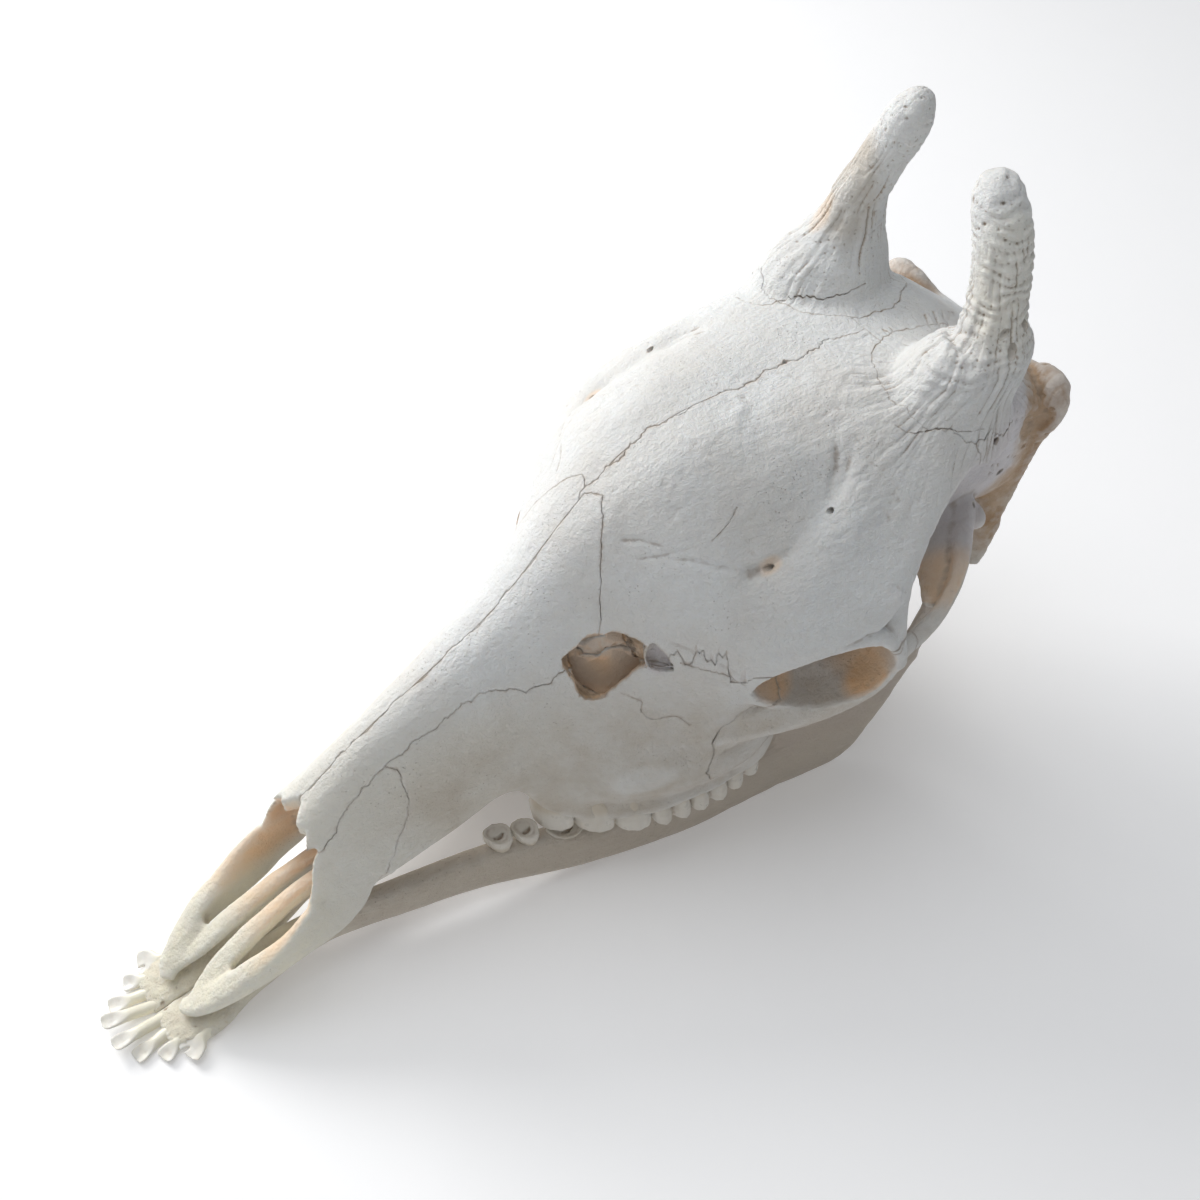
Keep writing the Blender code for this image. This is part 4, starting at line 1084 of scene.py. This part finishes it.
def fossette(front, back, outer_front, outer_back, width, worn, outward, away):
    """The crescent-shaped pit in a lobe's worn face."""
    y, x = (front + back) / 2, (outer_front + outer_back) / 2 - width / 2
    reach, stations = (back - front) * 0.27, []
    for k in range(-3, 4):
        turn = k * 0.42
        thick = 1.25 - 0.3 * abs(k)
        across = outward * width * (0.16 - 0.26 * math.cos(turn))
        stations.append((x + across, y + reach * math.sin(turn), worn - 0.8 * away - WEAR_SLOPE * across,
                         thick, 3.6))
    return bar("fossette", stations, sides=10, steps=2)


def cheek_tooth(row, width, outward, side, name):
    front, back, outer_front, outer_back, bone, worn, count = row
    away = math.copysign(1, worn - bone)
    step = (back - front) / count
    lobes, pits = [], []
    for k in range(count):
        a, b = front + k * step, front + (k + 1) * step
        xa = outer_front + (outer_back - outer_front) * k / count
        xb = outer_front + (outer_back - outer_front) * (k + 1) / count
        lobes.append(tooth_lobe(a, b, xa, xb, width, bone, worn, bone - TOOTH_SINK * away, outward))
        pits.append(fossette(a, b, xa, xb, width, worn, outward, away))
    tooth = merged(name, lobes)
    remesh(tooth, TOOTH_VOXEL)
    for pit in pits:
        boolean(tooth, pit)
    remesh(tooth, TOOTH_VOXEL)
    soften(tooth, 0.5, 2)
    keep_largest(tooth)
    points, normals = points_of(tooth.data), normals_of(tooth.data)
    lines = 0.10 * noise(points, (1.6, 1.6, 9), 61) + 0.10 * noise(points, 3.5, 62)
    push(tooth.data, points, normals, lines)
    tooth = for_side(tooth, side)
    tooth.name = name
    return tooth


def front_tooth(tip, root, half_width, number, side):
    """A front tooth: a round root, a waist and a flat spoon-shaped crown, hollow on its upper face."""
    tip, root = Vector(tip), Vector(root)
    forward = (tip - root).normalized()
    across = forward.cross(Vector((0, 0, 1))).normalized()
    up = across.cross(forward)
    length = (tip - root).length
    stations = [(-0.35, 2.8, 2.8), (0.0, 3.4, 3.2), (0.3, 3.5, 3.2), (0.48, 3.4, 3.1),
                (0.60, half_width * 0.78, 3.0), (0.74, half_width * 0.93, 2.5), (0.86, half_width, 1.9),
                (0.94, half_width * 0.95, 1.3), (0.985, half_width * 0.7, 0.9), (1.0, half_width * 0.42, 0.5)]
    rings = []
    for t, wide, thick in along_first(stations, 3):
        centre = root + forward * length * t
        crown = max(0.0, min(1.0, (t - 0.5) / 0.3))
        ring = []
        for turn in circle(24):
            rise = math.sin(turn)
            if rise > 0:
                rise *= 1 - 0.75 * crown * (1 - abs(math.cos(turn)) ** 3)
            bend = across * wide * math.cos(turn) + up * thick * rise
            ring.append(centre + bend + up * crown * 0.8 * math.cos(turn) ** 2)
        rings.append(ring)
    tooth = from_rings("front_tooth", rings)
    if number == 3:
        notch = tip + across * half_width * 0.35 - forward * 1.0
        boolean(tooth, ellipsoid("notch", notch, (1.1, 3.6, 4.0)))
    remesh(tooth, TOOTH_VOXEL * 0.8)
    soften(tooth, 0.5, 2)
    points, normals = points_of(tooth.data), normals_of(tooth.data)
    push(tooth.data, points, normals, 0.12 * noise(points, 3.0, 63 + number))
    tooth = for_side(tooth, side)
    tooth.name = "front_tooth_" + str(number + 1)
    return tooth


def jaw_half():
    jaw = merged("jaw", [
        slab("jaw_body", JAW_BODY, power=0.75), slab("jaw_ramus", JAW_RAMUS, power=0.8),
        bar("coronoid", CORONOID, upright=(0, 1, 0)), bar("condyle_neck", CONDYLE_NECK),
        ellipsoid("condyle", *JAW_CONDYLE)])
    remesh(jaw, JAW_VOXEL)
    soften(jaw, 0.5, 6)
    points, normals = points_of(jaw.data), normals_of(jaw.data)
    chin = 1 - ramp(points[:, 1], 48, 78)
    eased = smoothed(points, edges_of(jaw.data), 40)
    points = points + (eased - points) * (chin * ramp(points[:, 2], -31, -24))[:, None]
    height = 0.2 * layered(points, 15, 71) + 0.14 * noise(points, (3, 20, 3), 72)
    height += chin * (0.35 * layered(points, 4.5, 73) - 1.0 * pitted(points, 3.4, 74, 0.55))
    sockets = near(points, (24, 42, -27), (18, 12, 12))
    height -= sockets * 1.2 * pitted(points, 4.0, 75, 0.6)
    push(jaw.data, points, normals, height)
    for y, z, radius in JAW_FORAMINA:
        boolean(jaw, ellipsoid("mental", (JAW_FORAMEN_X, y, z), (5, radius * 1.9, radius)))
    boolean(jaw, block("middle", (-60, -20, -200), (SUTURE_GAP / 2, 160, 100)))
    keep_largest(jaw)
    return jaw


# Tints laid over the bone by where it is, as values from 0 to 1 at each vertex: the bone's own colours, and
# painted shade, painted highlight, painted bounce light and a painted glow.

def facing(points, normals, target):
    """How much the surface faces a point or an axis point."""
    towards = np.asarray(target) - points
    towards /= np.maximum(np.linalg.norm(towards, axis=1), 1e-6)[:, None]
    return ramp(np.sum(towards * normals, axis=1), -0.1, 0.45)


def tints(points, normals):
    left = both_sides(points)
    turned = normals.copy()
    turned[:, 0] *= np.where(points[:, 0] < 0, -1, 1)
    # Painted glow: the inner wall of the vacuity is tinted bright orange for the light that shines through
    # its thin wall.
    window = near(left, (40, 300, 96), (38, 38, 38)) * facing(left, turned, VACUITY)
    to_eye = facing(left, turned, EYE)
    orbit = near(left, (94, 398, 80), (44, 50, 44)) * to_eye
    orbit *= 0.05 + 0.8 * ramp(points[:, 1], 404, 424) + near(left, (88, 372, 72), (16, 18, 14))
    orbit += near(left, (114, 418, 68), (13, 24, 15)) * ramp(normals[:, 2], 0.1, 0.6)
    recess = near(left, (76, 380, 149), (5, 9, 6)) * 0.4
    recess += near(points, (-56, 520, 212), (8, 12, 18)) * 0.3
    axis = np.column_stack([points[:, 0] * 0, points[:, 1], np.interp(points[:, 1], [80, 240], [36, 60])])
    inner = (1 - ramp(points[:, 1], 225, 260)) * ramp(points[:, 1], 60, 95) * (1 - ramp(left[:, 0], 30, 38))
    nose = inner * facing(points, normals, axis) * ramp(points[:, 2], -4, 14)
    shelf = near(left, (96, 480, 74), (26, 36, 22)) * ramp(normals[:, 2], 0.0, 0.5)
    # Tan is the inner walls' own orange-brown, and in the vacuity a painted glow.
    tan_and_glow = np.clip(window + 0.8 * orbit + 0.75 * nose + 0.55 * shelf + recess, 0, 1)
    crest = near(left, (58, 585, 112), (34, 32, 40)) + near(left, (57, 570, 50), (26, 34, 52))
    socket = near(left, (96, 418, 82), (34, 22, 34)) * to_eye
    brown = np.clip(crest + 0.4 * socket, 0, 1)
    front = 1 - ramp(points[:, 1], 80, 150)
    jaw_edge = (1 - ramp(points[:, 2], -62, -36)) * 0.25
    # Painted bounce light: the lower sides of the snout take a warm cream tint.
    side = (1 - ramp(points[:, 1], 190, 340)) * (1 - ramp(points[:, 2], 70, 120)) * 0.4
    horn = near(points, (70, 538, 240), (34, 34, 66)) * 0.4
    # Cream is the bone's own colour at the front, the jaw's edge and the left ossicone, and painted warm
    # bounce light on the snout's sides.
    cream_and_bounce = np.clip(front * 0.8 + jaw_edge + side + horn, 0, 1)
    # Painted shade: lilac-grey on faces that turn down, in the temporal fossa, inside the orbit and in the
    # hollow behind the vacuity.
    shade_lilac = near(left, (78, 540, 110), (50, 80, 60)) * (1 - brown) + 0.5 * ramp(-normals[:, 2], 0.1, 0.8)
    shade_lilac += near(left, (88, 392, 90), (40, 34, 30)) * to_eye * 0.15
    shade_lilac += near(left, (60, 322, 104), (10, 10, 10))
    # Painted shade: warmer and darker towards the bottom of the head, on the shelf of the arch and on the
    # right ossicone.
    warm_shade = (1 - ramp(points[:, 2], 45, 120)) * ramp(points[:, 1], 130, 220)
    warm_shade += near(points, (-46, 528, 232), (22, 20, 50)) * 0.9
    warm_shade += near(left, (105, 480, 80), (26, 50, 26)) * 0.8
    # Painted highlight: less of that painted shade on the lit bulge of the cheek.
    warm_shade *= 1 - 0.6 * near(left, (70, 301, 23), (18, 26, 12))
    return {"tan_and_glow": tan_and_glow, "brown": brown, "cream_and_bounce": cream_and_bounce, "shade_lilac": np.clip(shade_lilac, 0, 1),
            "warm_shade": np.clip(warm_shade, 0, 1)}


def seams(mesh):
    """1 beside the sharp edges of sutures, cracks and holes, 0 away from them."""
    edge = read(mesh.loops, "edge_index", 1, np.int64)[:, 0]
    total = read(mesh.polygons, "loop_total", 1, np.int64)[:, 0]
    order = np.argsort(edge, kind="stable")
    face = np.repeat(np.arange(len(total)), total)[order]
    pairs = read(mesh.polygons, "normal")[face].reshape(-1, 2, 3)
    sharp = np.sum(pairs[:, 0] * pairs[:, 1], axis=1) < SHARP
    seam = np.zeros((len(mesh.vertices), 3))
    ends = edges_of(mesh)
    seam[ends[edge[order][::2][sharp]].ravel()] = 1
    return (0.6 * seam + 0.8 * smoothed(seam, ends, 1))[:, 0]


def hollows(mesh, points, normals):
    """How deep each vertex lies in a hollow of its surroundings, fine and broad."""
    ends = edges_of(mesh)
    fine = smoothed(points, ends, 3)
    broad = smoothed(fine, ends, 24)
    small = np.sum((fine - points) * normals, axis=1)
    large = np.sum((broad - points) * normals, axis=1)
    return np.clip(small / 0.30, -1, 1), np.clip(large / 1.4, -1, 1)


def store(mesh, name, value):
    """Keeps a value at each vertex, for the material to read."""
    layer = mesh.attributes.new(name, "FLOAT", "POINT")
    layer.data.foreach_set("value", value.astype(np.float32))


def mark(item):
    """Stores the tints, hollows and seams on the mesh."""
    mesh = item.data
    points, normals = points_of(mesh), normals_of(mesh)
    values = tints(points, normals)
    values["pit"], values["dip"] = hollows(mesh, points, normals)
    values["seam"] = np.clip(seams(mesh), 0, 1)
    for name, value in values.items():
        store(mesh, name, value)


# Materials.

class Surface:
    """A material under construction: one Principled shader and nodes that feed it."""

    def __init__(self, name):
        self.material = bpy.data.materials.new(name)
        self.material.use_nodes = True
        self.tree = self.material.node_tree
        self.shader = self.tree.nodes["Principled BSDF"]
        self.place = self.tree.nodes.new("ShaderNodeTexCoord").outputs["Object"]

    def feed(self, node, sources):
        for socket, source in sources:
            if isinstance(source, bpy.types.NodeSocket):
                self.tree.links.new(source, node.inputs[socket])
            else:
                node.inputs[socket].default_value = source

    def node(self, kind, *sources, **settings):
        made = self.tree.nodes.new("ShaderNode" + kind)
        for key, value in settings.items():
            setattr(made, key, value)
        self.feed(made, sources)
        return made

    def math(self, operation, a, b):
        return self.node("Math", (0, a), (1, b), operation=operation).outputs[0]

    def times(self, a, b):
        return self.math("MULTIPLY", a, b)

    def spread(self, value, low, high, start=0.0, end=1.0):
        return self.node("MapRange", (0, value), (1, low), (2, high), (3, start), (4, end)).outputs[0]

    def noise(self, scale, detail=4.0, rough=0.55, stretch=None):
        place = self.place
        if stretch is not None:
            place = self.node("Mapping", (0, place), ("Scale", stretch)).outputs[0]
        return self.node("TexNoise", (0, place), ("Scale", scale), ("Detail", detail),
                         ("Roughness", rough)).outputs[0]

    def cells(self, scale):
        return self.node("TexVoronoi", (0, self.place), ("Scale", scale)).outputs["Distance"]

    def value(self, name):
        return self.node("Attribute", attribute_name=name).outputs["Fac"]

    def mix(self, amount, a, b):
        a, b = [c if isinstance(c, bpy.types.NodeSocket) else (*c, 1) for c in (a, b)]
        return self.node("Mix", ("Factor", amount), (6, a), (7, b), data_type="RGBA").outputs[2]

    def lay(self, colour, amount, share, tint):
        """Lays a tint over a colour, where the amount says and by that share of it."""
        return self.mix(self.times(amount, share), colour, tint)

    def inside(self, weight, radius, scale):
        """Lets light into the surface, to a depth given for red, green and blue."""
        self.feed(self.shader, (("Subsurface Weight", weight), ("Subsurface Radius", radius),
                                ("Subsurface Scale", scale)))

    def finish(self, colour, height, roughness, strength, distance):
        bump = self.node("Bump", ("Strength", strength), ("Distance", distance), ("Height", height))
        self.feed(self.shader, (("Normal", bump.outputs[0]), ("Base Color", colour),
                                ("Roughness", roughness)))
        return self.material


def bone_material(name, white, warm):
    s = Surface(name)
    patches = s.spread(s.noise(14, 5), 0.42, 0.62)
    mottle = s.spread(s.noise(90, 6, 0.65), 0.35, 0.75)
    streaks = s.noise(120, 4, 0.6, (4.0, 0.7, 4.0))
    fine = s.spread(s.noise(330, 5, 0.65), 0.45, 0.72)
    colour = s.lay(white, patches, 0.6, warm)
    colour = s.lay(colour, mottle, 0.24, GREY_BONE)
    colour = s.lay(colour, s.spread(streaks, 0.55, 0.75), 0.18, warm)
    colour = s.lay(colour, fine, 0.4, warm)
    # Cream: the bone's own colour, and painted warm bounce light on the snout's sides.
    colour = s.lay(colour, s.value("cream_and_bounce"), s.spread(mottle, 0.0, 1.0, 0.65, 1.0), CREAM)
    # Painted shade: warmer and darker on the lower parts of the head.
    colour = s.lay(colour, s.value("warm_shade"), s.spread(s.noise(30, 5, 0.6), 0.3, 0.7, 0.35, 0.95), WARM_SHADE)
    # Painted shade: lilac-grey where the bone lies in shade.
    colour = s.lay(colour, s.value("shade_lilac"), 0.45, SHADE_LILAC)
    # The inner walls' orange-brown, and the painted glow in the vacuity.
    colour = s.lay(colour, s.value("tan_and_glow"), s.spread(s.noise(45, 6, 0.6), 0.3, 0.7, 0.7, 1.0), TAN_AND_GLOW)
    colour = s.lay(colour, s.value("brown"), s.spread(s.value("dip"), -0.7, 0.3, 0.35, 0.85), CREST)
    blotch = s.spread(s.noise(38, 6, 0.62), 0.40, 0.66)
    colour = s.lay(colour, s.value("brown"), s.spread(blotch, 0.0, 1.0, 0.12, 0.9), BROWN)
    # Painted shade: warmer and darker in broad hollows.
    colour = s.lay(colour, s.spread(s.value("dip"), 0.15, 1.0), 0.25, warm)
    # Painted shade: darker in fine hollows.
    colour = s.lay(colour, s.spread(s.value("pit"), 0.22, 1.1), 0.6, HOLLOW_SHADE)
    colour = s.lay(colour, s.value("seam"), s.spread(s.noise(80, 4, 0.6), 0.38, 0.66, 0.1, 0.85), STAIN)
    # Painted highlight: paler on bumps and ridges.
    colour = s.lay(colour, s.spread(s.value("pit"), -0.1, -0.8), 0.25, RIDGE_HIGHLIGHT)
    # Painted shade: dark specks in the small pores.
    speck = s.times(s.spread(s.cells(420), 0.16, 0.06), s.spread(s.noise(24, 3), 0.5, 0.62))
    colour = s.lay(colour, speck, 0.5, HOLLOW_SHADE)
    height = s.times(s.noise(650, 5, 0.7), 0.7)
    for layer, share in ((s.noise(300, 5, 0.65), 1.3), (s.noise(1500, 3, 0.6), 0.25), (streaks, 0.8)):
        height = s.math("ADD", height, s.times(layer, share))
    height = s.math("SUBTRACT", height, s.times(speck, 1.2))
    s.inside(0.12, (1.0, 0.75, 0.55), 0.003)
    s.feed(s.shader, [("Specular IOR Level", 0.4)])
    return s.finish(colour, height, s.spread(mottle, 0.0, 1.0, 0.48, 0.66), 0.85, 0.0011)


def tooth_material(name, enamel, neck):
    s = Surface(name)
    mottle = s.spread(s.noise(120, 5, 0.6), 0.35, 0.7)
    colour = s.lay(enamel, mottle, 0.25, WARM_BONE)
    colour = s.lay(colour, s.spread(s.noise(60, 5, 0.6), 0.45, 0.7), 0.35, neck)
    colour = s.lay(colour, s.value("root"), 0.75, neck)
    # Painted shade: the root's darker colour in the tooth's broad hollows.
    colour = s.lay(colour, s.spread(s.value("dip"), 0.1, 0.9), 0.5, neck)
    # Painted shade: darker in the tooth's fine hollows.
    colour = s.lay(colour, s.spread(s.value("pit"), 0.05, 0.8), 0.8, HOLLOW_SHADE)
    height = s.math("ADD", s.noise(500, 5, 0.6), s.times(s.noise(1800, 2), 0.3))
    s.inside(0.1, (1.0, 0.8, 0.6), 0.002)
    return s.finish(colour, height, s.spread(mottle, 0.0, 1.0, 0.25, 0.45), 0.25, 0.0004)


def floor_material():
    s = Surface("floor")
    tone = s.spread(s.noise(6, 4), 0.3, 0.7, 0.0, 0.05)
    colour = s.mix(tone, FLOOR_PALE, FLOOR_DARK)
    s.feed(s.shader, (("Emission Color", (1.0, 0.98, 0.95, 1)), ("Emission Strength", 0.15)))
    roughness = s.spread(s.noise(30, 3), 0.3, 0.7, 0.75, 0.85)
    return s.finish(colour, s.noise(300, 3), roughness, 0.05, 0.0005)


# The pieces, their place in the world, and the picture.

def rest_matrix():
    pitch = math.atan2(CHIN_REST[1] - ANGLE_REST[1], ANGLE_REST[0] - CHIN_REST[0])
    turn = Matrix.Rotation(pitch, 4, "X")
    floor = (turn @ Vector((0, *CHIN_REST)) * MM).z + REST_CUT * MM
    return Matrix.Translation((0, CENTRE_Y * MM, -floor)) @ turn


def settle(item, name, node, material, rest):
    """Gives a finished mesh its place, name and material, and hides the CAD node that it replaces."""
    mark(item)
    mesh = item.data
    mesh.transform(rest)
    inside = np.clip(points_of(mesh) * MM, CAD_BOX[0], CAD_BOX[1])
    mesh.vertices.foreach_set("co", inside.ravel())
    mesh.materials.clear()
    mesh.materials.append(material)
    mesh.shade_smooth()
    mesh.update()
    item.name = name
    mesh.name = name
    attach(item, "root")
    if node:
        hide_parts(node)


def part_bones(body):
    """Takes the bones out of the cranium, which leaves the braincase. For each node: the mesh and
    its material slot."""
    bones = {}
    for side, word in SIDES:
        for name, region, slot in (
                ("ossicone", foot_cup, "bone"), ("nasal", nasal_region, "nasal_bone"),
                ("premaxilla", premaxilla_region, "cream_bone"), ("zygomatic", zygomatic_region, "bone"),
                ("frontal", frontal_region, "bone"), ("maxilla", maxilla_region, "bone")):
            bones[name + "_" + word] = (take(body, region, side, name), slot)
    keep_largest(body)
    bones["braincase"] = (body, "bone")
    return bones


def jaw_halves(rest):
    """Both halves of the jaw, flat where they rest on the floor."""
    left = jaw_half()
    halves = (left, mirrored(left))
    under = block("floor_cut", (-FAR, -FAR, -FAR), (FAR, 2 * FAR, 0))
    under.data.transform(rest.inverted())
    for half in halves:
        boolean(half, under, keep_other=True)
    discard(under)
    return halves


def make_teeth(rest, cheek_enamel, front_enamel):
    for side, word in SIDES:
        for kind, rows, width, outward, slot in (
                ("upper_tooth", UPPER_TEETH, UPPER_TOOTH_WIDTH, 1, "bone"),
                ("lower_tooth", LOWER_TEETH, LOWER_TOOTH_WIDTH, -1, "jaw_bone")):
            for number, row in enumerate(rows, 1):
                name = "%s_%s_%d" % (kind, word, number)
                item = cheek_tooth(row, width, outward, side, name)
                high, neck = points_of(item.data)[:, 2] * outward, row[4] * outward
                store(item.data, "root", ramp(high, neck + CHEEK_NECK[0], neck + CHEEK_NECK[1]))
                settle(item, name, None, cheek_enamel, rest)
        for number, row in enumerate(FRONT_TEETH):
            item = front_tooth(*row, number, side)
            tip, base = np.array(row[0]), np.array(row[1])
            along_tooth = (both_sides(points_of(item.data)) - base) @ (tip - base)
            along_tooth /= (tip - base) @ (tip - base)
            store(item.data, "root", 1 - ramp(along_tooth, *FRONT_NECK))
            name = "front_tooth_%s_%d" % (word, number + 1)
            settle(item, name, None, front_enamel, rest)


def make_pieces():
    rest = rest_matrix()
    bone = bone_material("bone", WHITE_BONE, WARM_BONE)
    cheek_enamel = tooth_material("cheek_tooth", CHEEK_ENAMEL, CHEEK_ROOT)
    front_enamel = tooth_material("front_tooth", ENAMEL, CREAM)
    # Painted shade: the jaw gets a darker copy of the bone material.
    jaw_bone = bone_material("jaw_bone", SHADED_JAW_WHITE, SHADED_JAW_WARM)
    body = cranium_body()
    carve(body)
    open_vacuity(body)
    cut_small(body)
    for node, (item, slot) in part_bones(body).items():
        settle(item, "bone_" + node, node, bone, rest)
    for (side, word), item in zip(SIDES, jaw_halves(rest)):
        node = "mandible_" + word
        settle(item, "bone_" + node, node, jaw_bone, rest)
    make_teeth(rest, cheek_enamel, front_enamel)


def set_camera(rest):
    turn = rest.to_3x3()
    right, up, back = turn @ VIEW_RIGHT, turn @ -VIEW_DOWN, turn @ -VIEW_FORWARD
    place = rest @ (VIEW_FROM * MM)
    camera = new_object("camera", bpy.data.cameras.new("camera"))
    camera.matrix_world = Matrix(((right.x, up.x, back.x, place.x), (right.y, up.y, back.y, place.y),
                                  (right.z, up.z, back.z, place.z), (0, 0, 0, 1)))
    camera.data.sensor_width = SENSOR
    camera.data.lens = SENSOR * VIEW_LENS / PICTURE
    camera.data.clip_start = 0.05
    bpy.context.scene.camera = camera


def area_light(name, place, target, size, power, colour):
    data = bpy.data.lights.new(name, "AREA")
    data.shape = "DISK"
    data.size = size
    data.energy = power
    data.color = colour
    lamp = new_object(name, data)
    lamp.location = place
    lamp.rotation_euler = (Vector(target) - Vector(place)).to_track_quat("-Z", "Y").to_euler()


def set_light():
    corners = [Vector((x * FLOOR_REACH, y * FLOOR_REACH, 0)) for x, y in ((-1, -1), (1, -1), (1, 1), (-1, 1))]
    floor = from_faces("floor", corners, [(0, 1, 2, 3)])
    floor.data.materials.append(floor_material())
    for lamp in LAMPS:
        area_light(*lamp)
    world = bpy.data.worlds.new("world")
    bpy.context.scene.world = world
    world.use_nodes = True
    for socket, value in zip(world.node_tree.nodes["Background"].inputs, AROUND):
        socket.default_value = value
    bpy.context.scene.view_settings.view_transform = "Standard"


set_camera(rest_matrix())
make_pieces()
set_light()
